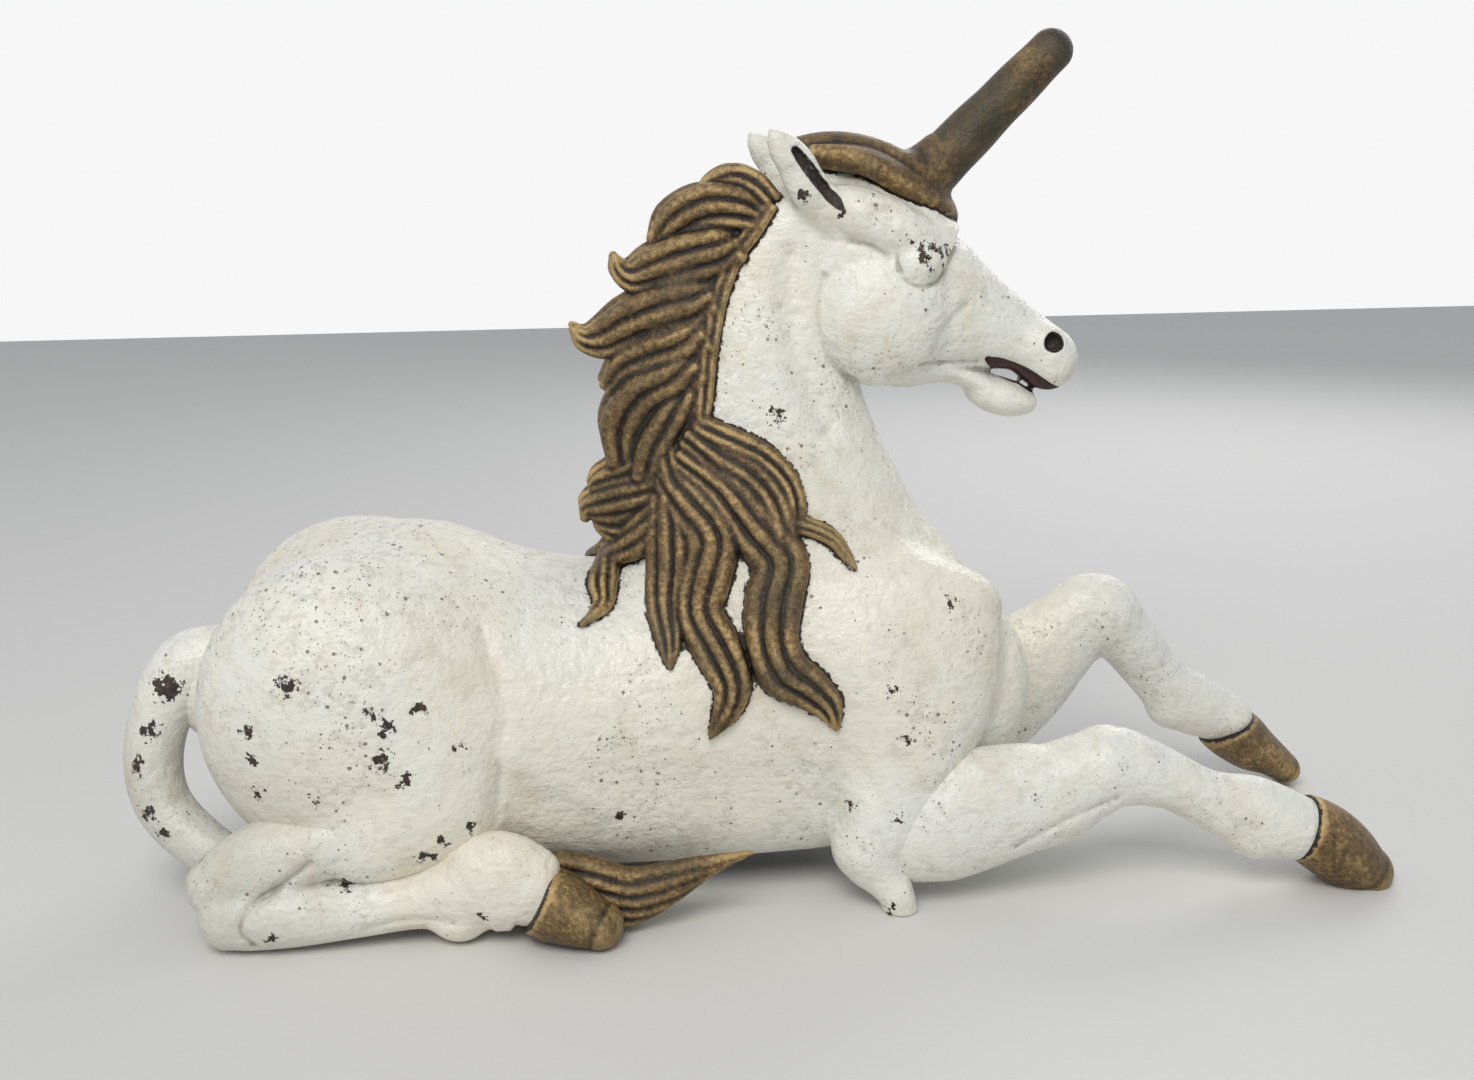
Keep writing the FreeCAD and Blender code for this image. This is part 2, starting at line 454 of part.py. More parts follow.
def keep(label, shape):
    """A sub-part of the document whose shape is set here."""
    piece = doc.addObject("Part::Feature", label)
    piece.Label = label
    piece.Shape = shape
    piece.Placement = FreeCAD.Placement()
    return piece


def bound(kind, name, placement, **cells):
    """A Part primitive whose sizes are bound to cells of the sheet."""
    piece = doc.addObject(kind, name)
    for property_name, cell in cells.items():
        piece.setExpression(property_name, cell if "sizes." in cell else "sizes." + cell)
    piece.Placement = placement
    return piece


def along(start, way):
    """The placement that stands a primitive's Z axis on start and points it along way."""
    return FreeCAD.Placement(start, FreeCAD.Rotation(V(0, 0, 1), way))


def profile_sketch(body, corners):
    """A closed sketch of straight lines on the upright plane; each corner is a pair of formulas."""
    sketch = body.newObject("Sketcher::SketchObject", body.Name + "_profile")
    plane = [origin for origin in body.Origin.OriginFeatures if origin.Role == "XZ_Plane"][0]
    sketch.AttachmentSupport = (plane, "")
    sketch.MapMode = "FlatFace"
    start = [V(1 + index, 1 + index * index, 0) for index in range(len(corners))]
    for index, point in enumerate(start):
        sketch.addGeometry(Part.LineSegment(point, start[(index + 1) % len(start)]), False)
    for index in range(len(corners)):
        sketch.addConstraint(Sketcher.Constraint("Coincident", index, 2, (index + 1) % len(corners), 1))
    for index, corner in enumerate(corners):
        for kind, formula in zip(("DistanceX", "DistanceY"), corner):
            number = sketch.addConstraint(Sketcher.Constraint(kind, -1, 1, index, 1, 1))
            sketch.setExpression("Constraints[%d]" % number, formula)
    return sketch


# Horn: turned from a side profile in a body of its own, with the blind hole for its stud, and
# leaning forward out of the forehead
horn = doc.addObject("PartDesign::Body", "horn")
horn.Label = "horn"
horn_profile = profile_sketch(horn, [
    ("sizes.horn_stud_radius", "-sizes.horn_sink"), ("sizes.horn_base_radius", "-sizes.horn_sink"),
    ("sizes.horn_base_radius", "0 mm"), ("sizes.horn_middle_radius", "sizes.horn_length / 2"),
    ("sizes.horn_tip_radius", "sizes.horn_length"), ("0 mm", "sizes.horn_length"),
    ("0 mm", "sizes.horn_stud_length / 2 - sizes.horn_sink"),
    ("sizes.horn_stud_radius", "sizes.horn_stud_length / 2 - sizes.horn_sink")])
doc.recompute()
horn_turned = horn.newObject("PartDesign::Revolution", "horn_turned")
horn_turned.Profile = horn_profile
horn_turned.ReferenceAxis = (horn_profile, ["V_Axis"])
horn_turned.Angle = 360
doc.recompute()
tip_edges = [index for index, edge in enumerate(horn_turned.Shape.Edges, start=1)
             if abs(edge.CenterOfMass.z - size("horn_length")) < WALL and edge.Closed]
horn_round = horn.newObject("PartDesign::Fillet", "horn_round")
horn_round.Base = (horn_turned, ["Edge%d" % index for index in tip_edges[:1]])
horn_round.setExpression("Radius", "sizes.horn_tip_rounding")
horn_lean = math.radians(size("horn_lean"))
horn_way = V(math.sin(horn_lean), 0, math.cos(horn_lean))
horn_foot = place(*HORN_FOOT_SHARES)
horn.Placement = along(horn_foot, horn_way)
doc.recompute()
horn_stud_start = horn_foot - horn_way * (size("horn_sink") + size("horn_stud_length") / 2)
horn_stud = bound("Part::Cylinder", "horn_stud", along(horn_stud_start, horn_way),
                  Radius="horn_stud_radius", Height="horn_stud_length")

# Tie bolts with a washer and a nut at each pair of lugs
washer_thickness, nut_height = size("tie_washer_thickness"), size("tie_nut_height")
tie_head = size("tie_head_height")
bolts, washers, nuts = [], [], []
for number, spot in enumerate(lug_places, start=1):
    under_head = spot - TO_LEFT * (lug_length + washer_thickness)
    far_seat = spot + TO_LEFT * lug_length
    head = bound("Part::Prism", "tie_head_%d" % number, along(under_head - TO_LEFT * tie_head, TO_LEFT),
                 Circumradius="tie_head_radius", Height="tie_head_height")
    shank = bound("Part::Cylinder", "tie_shank_%d" % number, along(under_head, TO_LEFT),
                  Radius="tie_bolt_radius", Height="2 * sizes.lug_length + 2 * sizes.tie_washer_thickness"
                  " + sizes.tie_nut_height + sizes.tie_tail_length")
    bolt = doc.addObject("Part::MultiFuse", "tie_bolt_%d" % number)
    bolt.Shapes = [head, shank]
    bolts.append(bolt)
    for side, seat in (("head", under_head), ("nut", far_seat)):
        disc = bound("Part::Cylinder", "washer_disc_%s_%d" % (side, number), along(seat, TO_LEFT),
                     Radius="tie_washer_radius", Height="tie_washer_thickness")
        bore = bound("Part::Cylinder", "washer_bore_%s_%d" % (side, number), along(seat, TO_LEFT),
                     Radius="sizes.tie_bolt_radius + sizes.bolt_clearance", Height="tie_washer_thickness")
        washer = doc.addObject("Part::Cut", "tie_washer_%s_%d" % (side, number))
        washer.Base, washer.Tool = disc, bore
        washers.append(washer)
    nut_seat = far_seat + TO_LEFT * washer_thickness
    block = bound("Part::Prism", "nut_block_%d" % number, along(nut_seat, TO_LEFT),
                  Circumradius="tie_head_radius", Height="tie_nut_height")
    bore = bound("Part::Cylinder", "nut_bore_%d" % number, along(nut_seat, TO_LEFT),
                 Radius="tie_bolt_radius", Height="tie_nut_height")
    nut = doc.addObject("Part::Cut", "tie_nut_%d" % number)
    nut.Base, nut.Tool = block, bore
    nuts.append(nut)

# Bolts that hold the legs, from inside the shells, and the bolt that holds the tail to the rump
leg_bolts = []
for side_name, side in (("right", RIGHT), ("left", LEFT)):
    for leg, way in LEG_BOLT_WAYS.items():
        spot = V(leg_spots[leg].x, -side * leg_spots[leg].y, leg_spots[leg].z)
        to_leg = V(way.x, -side * way.y, way.z)
        name = "%s_%s" % (leg, side_name)
        head = bound("Part::Prism", "leg_head_" + name, along(spot - to_leg * size("leg_head_height"), to_leg),
                     Circumradius="leg_head_radius", Height="leg_head_height")
        shank = bound("Part::Cylinder", "leg_shank_" + name, along(spot, to_leg),
                      Radius="leg_bolt_radius", Height=leg + "_bolt_length")
        bolt = doc.addObject("Part::MultiFuse", "leg_bolt_" + name)
        bolt.Shapes = [head, shank]
        leg_bolts.append(bolt)
tail_spot = place(TRUNK_SHARES[1][0], 0, TAIL_SHARES[0][2])
TO_REAR = V(-1, 0, 0)
tail_head = bound("Part::Prism", "tail_head", along(tail_spot - TO_REAR * tie_head, TO_REAR),
                  Circumradius="tie_head_radius", Height="tie_head_height")
tail_shank = bound("Part::Cylinder", "tail_shank", along(tail_spot, TO_REAR),
                   Radius="tail_bolt_radius", Height="tail_bolt_length")
tail_bolt = doc.addObject("Part::MultiFuse", "tail_bolt")
tail_bolt.Shapes = [tail_head, tail_shank]


def stud(name, middle, way, prefix):
    """A plain stud centred on a joint."""
    start = middle - way * (size(prefix + "_length") / 2)
    return bound("Part::Cylinder", name, along(start, way), Radius=prefix + "_radius", Height=prefix + "_length")


# Studs in the hooves and in the tail tuft, and pins in the manes
hoof_studs = {name: stud(name + "_stud", *coronet(name), "hoof_stud") for name in CORONETS}
tuft_root, tuft_next = [station[0] for station in stations_from(TUFT_SHARES[:2], 0, 0)]
tuft_way = (tuft_next - tuft_root).normalize()
tuft_stud = stud("tuft_stud", tuft_root, tuft_way, "tuft_stud")
MANE_PIN_SHARES = [(-0.045, 0.095, 0.600), (-0.031, 0.193, 0.452)]
mane_pins = []
for number, shares in enumerate(MANE_PIN_SHARES, start=1):
    for side_name, side in (("right", RIGHT), ("left", LEFT)):
        spot = side_place(shares)
        spot.y = -side * spot.y
        mane_pins.append(bound("Part::Cylinder", "mane_pin_%s_%d" % (side_name, number), along(spot, V(0, side, 0)),
                               Radius="mane_pin_radius", Height="mane_pin_length"))
doc.recompute()


def group(label, members):
    """Like fasteners under one name, still separate solids."""
    compound = doc.addObject("Part::Compound", label)
    compound.Label = label
    compound.Links = members
    return compound


def without(shape, tools):
    """The shape with holes for the pieces that sit in it."""
    for tool in tools:
        if shape.BoundBox.intersect(tool.Shape.BoundBox):
            shape = shape.cut(tool.Shape)
    return shape


# Each casting has the holes of the fasteners that sit in it
both_shells = [horn, horn_stud, tail_bolt]
subparts = [
    keep("body_shell_right", without(right_shell, both_shells + mane_pins)),
    keep("body_shell_left", without(left_shell, both_shells + mane_pins)),
    keep("foreleg_right", without(foreleg_right, leg_bolts + [hoof_studs["hoof_fore_right"]])),
    keep("foreleg_left", without(foreleg_left, leg_bolts + [hoof_studs["hoof_fore_left"]])),
    keep("hind_leg_right", without(hind_leg_right, leg_bolts + [hoof_studs["hoof_hind_right"]])),
    keep("hind_leg_left", without(mirrored(hind_leg_right), leg_bolts + [hoof_studs["hoof_hind_left"]])),
    keep("tail", without(tail, [tail_bolt, tuft_stud])),
    keep("tail_tuft", without(tuft, [tuft_stud])),
    keep("mane_right", without(mane_right, mane_pins)),
    keep("mane_left", without(mirrored(mane_right), mane_pins)),
    keep("forelock", without(forelock, [horn, horn_stud])),
    horn, horn_stud, tail_bolt, tuft_stud]
subparts += [keep(name, without(hoof, [hoof_studs[name]])) for name, hoof in hooves.items()]
subparts += [group("tie_bolts", bolts), group("tie_washers", washers), group("tie_nuts", nuts),
             group("leg_bolts", leg_bolts), group("hoof_studs", list(hoof_studs.values())),
             group("mane_pins", mane_pins)]
doc.recompute()

# Every object of the document and every solid is sound before it is written out
for thing in doc.Objects:
    if "Invalid" in thing.State or "Error" in thing.State:
        raise RuntimeError("%s failed: %s" % (thing.Label, thing.State))
for piece in subparts:
    shape = piece.Shape
    if shape.isNull() or not shape.isValid() or not shape.Solids:
        raise RuntimeError("%s has no valid solid" % piece.Label)
    volumes = [round(solid.Volume) for solid in shape.Solids]
    print("%-18s %d solids, volumes %s mm3" % (piece.Label, len(shape.Solids), volumes[:4]))
    shape.exportStep("parts/%s.step" % piece.Label)
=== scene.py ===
import math
import bmesh
import bpy
import numpy as np
import openvdb
from mathutils import Matrix


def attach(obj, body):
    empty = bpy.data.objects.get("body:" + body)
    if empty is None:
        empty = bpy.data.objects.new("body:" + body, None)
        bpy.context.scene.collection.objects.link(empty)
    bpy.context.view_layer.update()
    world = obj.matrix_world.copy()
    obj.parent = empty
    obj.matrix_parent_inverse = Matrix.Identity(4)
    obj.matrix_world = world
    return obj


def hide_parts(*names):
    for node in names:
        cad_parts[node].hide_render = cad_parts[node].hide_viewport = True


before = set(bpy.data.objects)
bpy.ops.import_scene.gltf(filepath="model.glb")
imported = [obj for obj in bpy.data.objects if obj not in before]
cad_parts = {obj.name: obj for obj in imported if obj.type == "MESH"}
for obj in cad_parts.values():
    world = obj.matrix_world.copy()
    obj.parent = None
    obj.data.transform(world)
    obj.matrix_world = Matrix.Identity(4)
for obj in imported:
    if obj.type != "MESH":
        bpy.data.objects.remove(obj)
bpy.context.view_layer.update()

# Camera. It looks at the animal's right side from a little behind the shoulder and
# slightly above. Its axes are worked out from the way it was turned, in degrees.
PHOTO_WIDTH, PHOTO_HEIGHT = 1474, 1080
FOCUS_PIXELS = 1650
CENTRE_COLUMN, CENTRE_ROW = PHOTO_WIDTH / 2, PHOTO_HEIGHT / 2
SENSOR_MM = 36
# Millimetres from the sculptor's zero, under the withers, to the middle of the figure
MIDDLE = 12.16
EYE_PLACE = np.array([-93.0, -825.0, 366.0])
LOOK_DOWN, LOOK_ROUND, ROLL = np.radians([12.9, -6.4, 0.78])
camera_back = np.array([math.sin(LOOK_ROUND) * math.cos(LOOK_DOWN),
                        -math.cos(LOOK_ROUND) * math.cos(LOOK_DOWN), math.sin(LOOK_DOWN)])
level_right = np.array([math.cos(LOOK_ROUND), math.sin(LOOK_ROUND), 0.0])
level_up = np.cross(camera_back, level_right)
camera_right = math.cos(ROLL) * level_right - math.sin(ROLL) * level_up
camera_up = math.sin(ROLL) * level_right + math.cos(ROLL) * level_up


def metres(at):
    """The sculptor's millimetres in the frame's metres: less the middle of the figure, over 1000."""
    return (np.asarray(at, float) - (MIDDLE, 0, 0)) * 0.001


lens = bpy.data.cameras.new("camera")
lens.sensor_width = SENSOR_MM
lens.lens = FOCUS_PIXELS / PHOTO_WIDTH * SENSOR_MM
lens.clip_start = 0.01
camera = bpy.data.objects.new("camera", lens)
stance = Matrix.Identity(4)
for column, axis in enumerate((camera_right, camera_up, camera_back, metres(EYE_PLACE))):
    for row in range(3):
        stance[row][column] = axis[row]
camera.matrix_world = stance
bpy.context.scene.collection.objects.link(camera)
bpy.context.scene.camera = camera


def sight(column, row, y):
    """The place at depth y, in millimetres, that a pixel shows: along its ray from the eye."""
    way = (-camera_back + camera_right * ((column - CENTRE_COLUMN) / FOCUS_PIXELS)
           - camera_up * ((row - CENTRE_ROW) / FOCUS_PIXELS))
    return EYE_PLACE + way * ((y - EYE_PLACE[1]) / way[1])


# Floor and light. A plain pale floor that runs into a white background, a large soft lamp
# high in front, and a weak one from behind to draw the back of the figure.
scene = bpy.context.scene
scene.view_settings.view_transform = "Standard"


def nodes_of(material):
    """A material's emptied node tree, and a new output in it."""
    material.use_nodes = True
    tree = material.node_tree
    tree.nodes.clear()
    output = tree.nodes.new("ShaderNodeOutputMaterial")
    return tree, output


FLOOR_HALF = 3.0
floor_mesh = bpy.data.meshes.new("floor")
corners = [(x * FLOOR_HALF, y * FLOOR_HALF, 0) for x, y in ((-1, -1), (1, -1), (1, 1), (-1, 1))]
floor_mesh.from_pydata(corners, [], [(0, 1, 2, 3)])
floor = bpy.data.objects.new("floor", floor_mesh)
scene.collection.objects.link(floor)
floor_paint = bpy.data.materials.new("floor_paint")
tree, output = nodes_of(floor_paint)
floor_shader = tree.nodes.new("ShaderNodeBsdfPrincipled")
floor_shader.inputs["Base Color"].default_value = (0.74, 0.73, 0.71, 1)
floor_shader.inputs["Roughness"].default_value = 0.8
tree.links.new(floor_shader.outputs[0], output.inputs["Surface"])
floor_mesh.materials.append(floor_paint)

world = bpy.data.worlds.new("studio")
scene.world = world
world.use_nodes = True
tree = world.node_tree
tree.nodes.clear()
output = tree.nodes.new("ShaderNodeOutputWorld")
backdrop = tree.nodes.new("ShaderNodeBackground")
backdrop.inputs["Color"].default_value = (0.93, 0.93, 0.93, 1)
fill = tree.nodes.new("ShaderNodeBackground")
fill.inputs["Color"].default_value = (0.90, 0.95, 1.0, 1)
fill.inputs["Strength"].default_value = 0.42
path = tree.nodes.new("ShaderNodeLightPath")
direct = tree.nodes.new("ShaderNodeMath")
direct.operation = "MAXIMUM"
tree.links.new(path.outputs["Is Camera Ray"], direct.inputs[0])
tree.links.new(path.outputs["Is Glossy Ray"], direct.inputs[1])
mix = tree.nodes.new("ShaderNodeMixShader")
tree.links.new(direct.outputs[0], mix.inputs["Fac"])
tree.links.new(fill.outputs[0], mix.inputs[1])
tree.links.new(backdrop.outputs[0], mix.inputs[2])
tree.links.new(mix.outputs[0], output.inputs["Surface"])


def lamp(name, place, target, width, watts, colour=(1, 1, 1)):
    """A square soft lamp at a place in metres, turned towards a target."""
    light = bpy.data.lights.new(name, "AREA")
    light.size = width
    light.energy = watts
    light.color = colour
    thing = bpy.data.objects.new(name, light)
    away = np.array(place, float) - np.array(target, float)
    away /= np.linalg.norm(away)
    across = np.cross((0, 0, 1), away)
    across /= np.linalg.norm(across)
    turn = Matrix.Identity(4)
    for column, axis in enumerate((across, np.cross(away, across), away, place)):
        for row in range(3):
            turn[row][column] = axis[row]
    thing.matrix_world = turn
    scene.collection.objects.link(thing)


lamp("key", (-0.5, -1.5, 1.7), (0, 0, 0.15), 1.1, 26, (1.0, 0.98, 0.95))
lamp("back", (0.9, 1.4, 1.2), (0, 0, 0.2), 1.0, 9)

# Body. Two halves of painted cast iron: trunk, neck, head with its ears, and the roots of the
# legs, all one skin. The skin is sculpted as distances in millimetres from simple forms run
# together, cut along the parting plane, and hollow one wall in, open under the belly.
FAR = 400.0
X, Y, Z = 0, 1, 2


def smooth(place, places, values):
    """A smooth curve through values at places: cubic pieces with the neighbours' slopes."""
    slopes = np.gradient(values, places, axis=0)
    k = np.clip(np.searchsorted(places, place) - 1, 0, len(places) - 2)
    step = (places[k + 1] - places[k])[:, None]
    t = np.clip((place - places[k])[:, None] / step, 0, 1)
    start = (1 + 2 * t) * (1 - t) ** 2 * values[k] + t * (1 - t) ** 2 * step * slopes[k]
    end = t * t * (3 - 2 * t) * values[k + 1] + t * t * (t - 1) * step * slopes[k + 1]
    return start + end


def oval(offset, halves):
    """Distance from an egg: the offset's length times one less the inverse of its length in half
    sizes."""
    reach = np.sqrt(np.sum((offset / halves) ** 2, axis=1)) + 1e-4
    return np.sqrt(np.sum(offset * offset, axis=1)) * (1 - 1 / reach)


def egg(at, centre, radii, lean=0.0):
    """An egg with three radii, its nose turned up by lean degrees."""
    offset = at - np.array(centre, np.float32)
    if lean:
        c, s = math.cos(math.radians(lean)), math.sin(math.radians(lean))
        offset = np.stack([offset[:, 0] * c + offset[:, 2] * s, offset[:, 1],
                           offset[:, 2] * c - offset[:, 0] * s], axis=1)
    return oval(offset, np.array(radii, np.float32))


def barrel(at, along, table, less=0.0):
    """Ovals stacked along an axis: rows (place, centre on the other upright axis, half across, half
    along that axis)."""
    table = np.array(table, float)
    other = X + Z - along
    place = at[:, along].astype(float)
    inside = np.clip(place, table[0, 0], table[-1, 0])
    row = smooth(inside, table[:, 0], table[:, 1:])
    halves = np.maximum(row[:, 1:] - less, 1)
    offset = np.stack([at[:, Y], at[:, other] - row[:, 0], place - inside], axis=1)
    ends = np.minimum(halves[:, 0], halves[:, 1])
    return oval(offset, np.column_stack([halves, ends])).astype(np.float32)


def tube(at, table, reach=14.0, steps=5, less=0.0):
    """A limb: ovals carried along a smooth path, rows (x, y, z, half across, half up).
    The nearest place of the path is found, and the offset from it is measured across and up."""
    table = np.array(table, float)
    ticks = np.linspace(0, len(table) - 1, (len(table) - 1) * steps + 1)
    fine = smooth(ticks, np.arange(len(table), dtype=float), table)
    room = table[:, 3:].max() + reach
    near = np.all((at > fine[:, :3].min(axis=0) - room) & (at < fine[:, :3].max(axis=0) + room), axis=1)
    out = np.full(len(at), FAR, np.float32)
    here = at[near].astype(np.float32)
    if not len(here):
        return out
    slopes = np.gradient(fine[:, :3], axis=0)
    slopes /= np.linalg.norm(slopes, axis=1)[:, None]
    best = np.full(len(here), 1e9, np.float32)
    offset = np.zeros((len(here), 3), np.float32)
    tangent = np.zeros((len(here), 3), np.float32)
    halves = np.zeros((len(here), 2), np.float32)
    for k in range(len(fine) - 1):
        a, b = fine[k].astype(np.float32), fine[k + 1].astype(np.float32)
        run = b[:3] - a[:3]
        t = np.clip((here - a[:3]) @ run / max(float(run @ run), 1e-6), 0, 1)[:, None]
        gap = here - a[:3] - t * run
        far = np.sum(gap * gap, axis=1)
        won = far < best
        best[won] = far[won]
        offset[won] = gap[won]
        tangent[won] = (slopes[k] + t[won] * (slopes[k + 1] - slopes[k])).astype(np.float32)
        halves[won] = a[3:] + t[won] * (b[3:] - a[3:]) - less
    tangent /= np.linalg.norm(tangent, axis=1)[:, None]
    across = np.array((0, 1, 0), np.float32) - tangent * tangent[:, 1:2]
    across /= np.linalg.norm(across, axis=1)[:, None] + 1e-6
    up = np.cross(tangent, across)
    parts = np.stack([np.sum(offset * across, axis=1), np.sum(offset * up, axis=1),
                      np.sum(offset * tangent, axis=1)], axis=1)
    halves = np.maximum(halves, 0.3)
    ends = halves.min(axis=1)
    out[near] = oval(parts, np.column_stack([halves, ends]))
    return out


def merge(one, other, soft):
    """Two forms run together: the smaller distance, less a quarter of soft times the square of how
    nearly they tie."""
    tie = np.maximum(soft - np.abs(one - other), 0) / soft
    return np.minimum(one, other) - tie * tie * soft / 4


def merged(form, others):
    """A form with others run into it one after another, rows (other, soft)."""
    for other, soft in others:
        form = merge(form, other, soft)
    return form


def carve(one, other, soft):
    """The first form with the second taken out of it, its edge rounded by soft."""
    return -merge(-one, other, soft)


def crease(at, path, width, depth):
    """A soft groove along a line seen from the side, rows (x, z): depth times a bell curve of the
    distance from it."""
    path = np.array(path, float)
    ticks = np.linspace(0, len(path) - 1, (len(path) - 1) * 4 + 1)
    fine = smooth(ticks, np.arange(len(path), dtype=float), path).astype(np.float32)
    spot = at[:, (X, Z)]
    near = np.all((spot > fine.min(axis=0) - 3 * width) & (spot < fine.max(axis=0) + 3 * width), axis=1)
    best = np.full(int(near.sum()), 1e6, np.float32)
    for a, b in zip(fine, fine[1:]):
        run = b - a
        t = np.clip((spot[near] - a) @ run / float(run @ run), 0, 1)[:, None]
        best = np.minimum(best, np.sum((spot[near] - a - t * run) ** 2, axis=1))
    out = np.zeros(len(at), np.float32)
    out[near] = depth * np.exp(-best / width ** 2)
    return out


def creased(form, at, lines, side):
    """A form with grooves and ridges, rows (path, width, depth), where the skin is out beyond side."""
    for path, width, depth in lines:
        form = form + crease(at, path, width, depth) * (at[:, Y] < side)
    return form


TRUNK = [(-268, 105, 18, 22), (-255, 100, 45, 52), (-230, 100, 66, 74), (-190, 104, 78, 86),
         (-150, 104, 78, 86), (-110, 98, 72, 77), (-70, 95, 69, 73), (-30, 98, 70, 73), (10, 103, 72, 76),
         (50, 107, 72, 77), (90, 108, 62, 70), (112, 106, 48, 56), (126, 102, 31, 38), (134, 99, 13, 17)]
NECK = [(90, 45, 60, 90), (120, 45, 66, 92), (150, 33, 64, 86), (180, 19, 56, 79), (210, 14, 46, 69),
        (240, 10.5, 39, 58), (270, 10, 35, 50), (300, 15, 31, 44), (330, 27, 27, 38), (352, 38, 22, 26),
        (364, 44, 10, 12)]
HEAD = [(38, 0, 338, 20, 22), (52, 0, 330, 30, 38), (72, 0, 314, 35, 44), (86, 0, 297, 34, 44),
        (106, 0, 290, 28, 37), (126, 0, 284, 23, 25), (146, 0, 276, 19, 17), (160, 0, 267, 17, 15)]
JAW = [(86, 0, 264, 24, 9), (104, 0, 262, 18, 6.5), (118, 0, 258, 15, 6.5), (130, 0, 251, 13, 8),
       (142, 0, 246, 12, 8), (149, 0, 244, 9, 6)]
BROW = [(38, -20, 346, 12, 9), (52, -22, 342, 15, 13), (66, -23, 337, 16.5, 14), (80, -24, 331, 16, 13),
        (92, -20, 322, 12, 10)]
EAR = [(50, -22, 335, 9, 8), (39, -28, 347, 7.5, 9.6), (31, -32, 356, 7, 9.8), (26, -35, 365, 6, 9),
       (20, -37, 372, 5.5, 7.5), (15.5, -38, 377, 3.5, 4.5), (13.5, -38, 379.5, 1.5, 1.5)]
EAR_CUP = [(47, -32, 345, 5, 2.2), (42, -36, 351, 6, 3), (36, -39, 358, 6, 3.2), (30, -41, 365, 5, 3),
           (25, -41, 371, 4, 2)]
PECTORAL = [(96, -22, 150, 16, 18), (106, -24, 130, 22, 26), (116, -26, 108, 26, 31), (115, -25, 82, 25, 29),
            (110, -26, 60, 20, 22)]
BELLY = [(-135, -20, 58, 34, 34), (-100, -24, 54, 37, 37), (-50, -24, 53, 38, 38), (0, -24, 54, 38, 38),
         (45, -24, 56, 38, 38), (80, -22, 60, 34, 36)]
LOWER_THIGH = [(-148, -58, 66, 24, 30), (-172, -62, 56, 24, 27), (-194, -65, 50, 22, 22),
               (-208, -66, 48, 16, 15)]
UPPER_ARM = [(88, -44, 150, 22, 40), (84, -52, 112, 24, 38), (76, -58, 78, 23, 32), (66, -64, 48, 20, 25),
             (56, -66, 30, 17, 19)]
LEFT_ARM = UPPER_ARM[:2] + [(82, -58, 78, 24, 34), (88, -60, 56, 21, 26)]
ELBOW_STUB = [(61, -68, 21, 13, 14), (68, -74, 10, 9, 9.5), (71, -76, 0, 8, 8.5)]
TAIL_ROOT = [(-225, 0, 116, 18, 22), (-243, 0, 122, 18, 20), (-258, 0, 124, 17, 17.5),
             (-270, 0, 121, 14, 14)]
MOUTH = [(125, 0, 268.5, 40, 1), (131, 0, 265.5, 40, 3.4), (138, 0, 261.5, 40, 4.8), (146, 0, 258, 40, 4.6),
         (153, 0, 253.5, 40, 4.6), (160, 0, 250.5, 40, 3.4), (170, 0, 247, 40, 3)]
# Lines in the skin of the body, rows (path, width, depth): a negative depth is a ridge
BODY_LINES = [
    ([(-131, 150), (-124, 127), (-121, 112), (-124, 96), (-127, 65), (-131, 52)], 4.0, 1.6),
    ([(-121, 93), (-101, 76), (-75, 60)], 7.0, -1.4),
    ([(24, 322), (23, 300), (25, 278), (32, 256), (40, 238)], 7.0, 4.0),
    ([(47, 168), (65, 168), (84, 166)], 5.0, -1.2),
    ([(43, 86), (56, 66), (66, 48)], 4.0, 0.9)]
HEAD_LINES = [
    ([(112, 297), (104, 289), (98, 283), (94, 272), (87, 265)], 2.4, 0.9),
    ([(88, 268), (106, 267.5), (121, 267)], 1.8, 1.1),
    ([(43, 337), (52, 329), (62, 326), (71, 320), (75, 315)], 2.2, 1.0),
    ([(75, 321), (77, 312), (84, 306.5), (93, 307), (99, 313)], 1.5, 1.1),
    ([(112, 291), (128, 282), (143, 276)], 5.0, 0.8),
    ([(40, 312), (36.5, 300), (36.5, 288), (40, 275), (47, 265.5), (56, 259.5)], 2.4, 2.0)]
CLEAR_OF_PLANE = -8
NOSTRIL_CENTRE, NOSTRIL_RADII = (158, -19, 275.5), (5.4, 5.0, 4.8)
WALL = 7.0
# Trunk stations that the hollow follows, between its own ends
HOLLOW = [(-244, 104, 22, 24), (-230, 101, 50, 58)] + TRUNK[3:10] + [(100, 106, 20, 24)]
OPENING_MIDDLE, OPENING_LENGTH, OPENING_WIDTH = -26.4, 180, 56


def folded(at):
    """Both sides as the right one: the side's place counts away from the parting plane."""
    return np.column_stack([at[:, X], -np.abs(at[:, Y]), at[:, Z]]).astype(np.float32)


def mouth_slot(at):
    """The open mouth: a flat tube right across the muzzle, kept off the tongue in the middle."""
    slot = tube(at, MOUTH)
    return np.maximum(slot, 9 + at[:, Y] * 0.999)


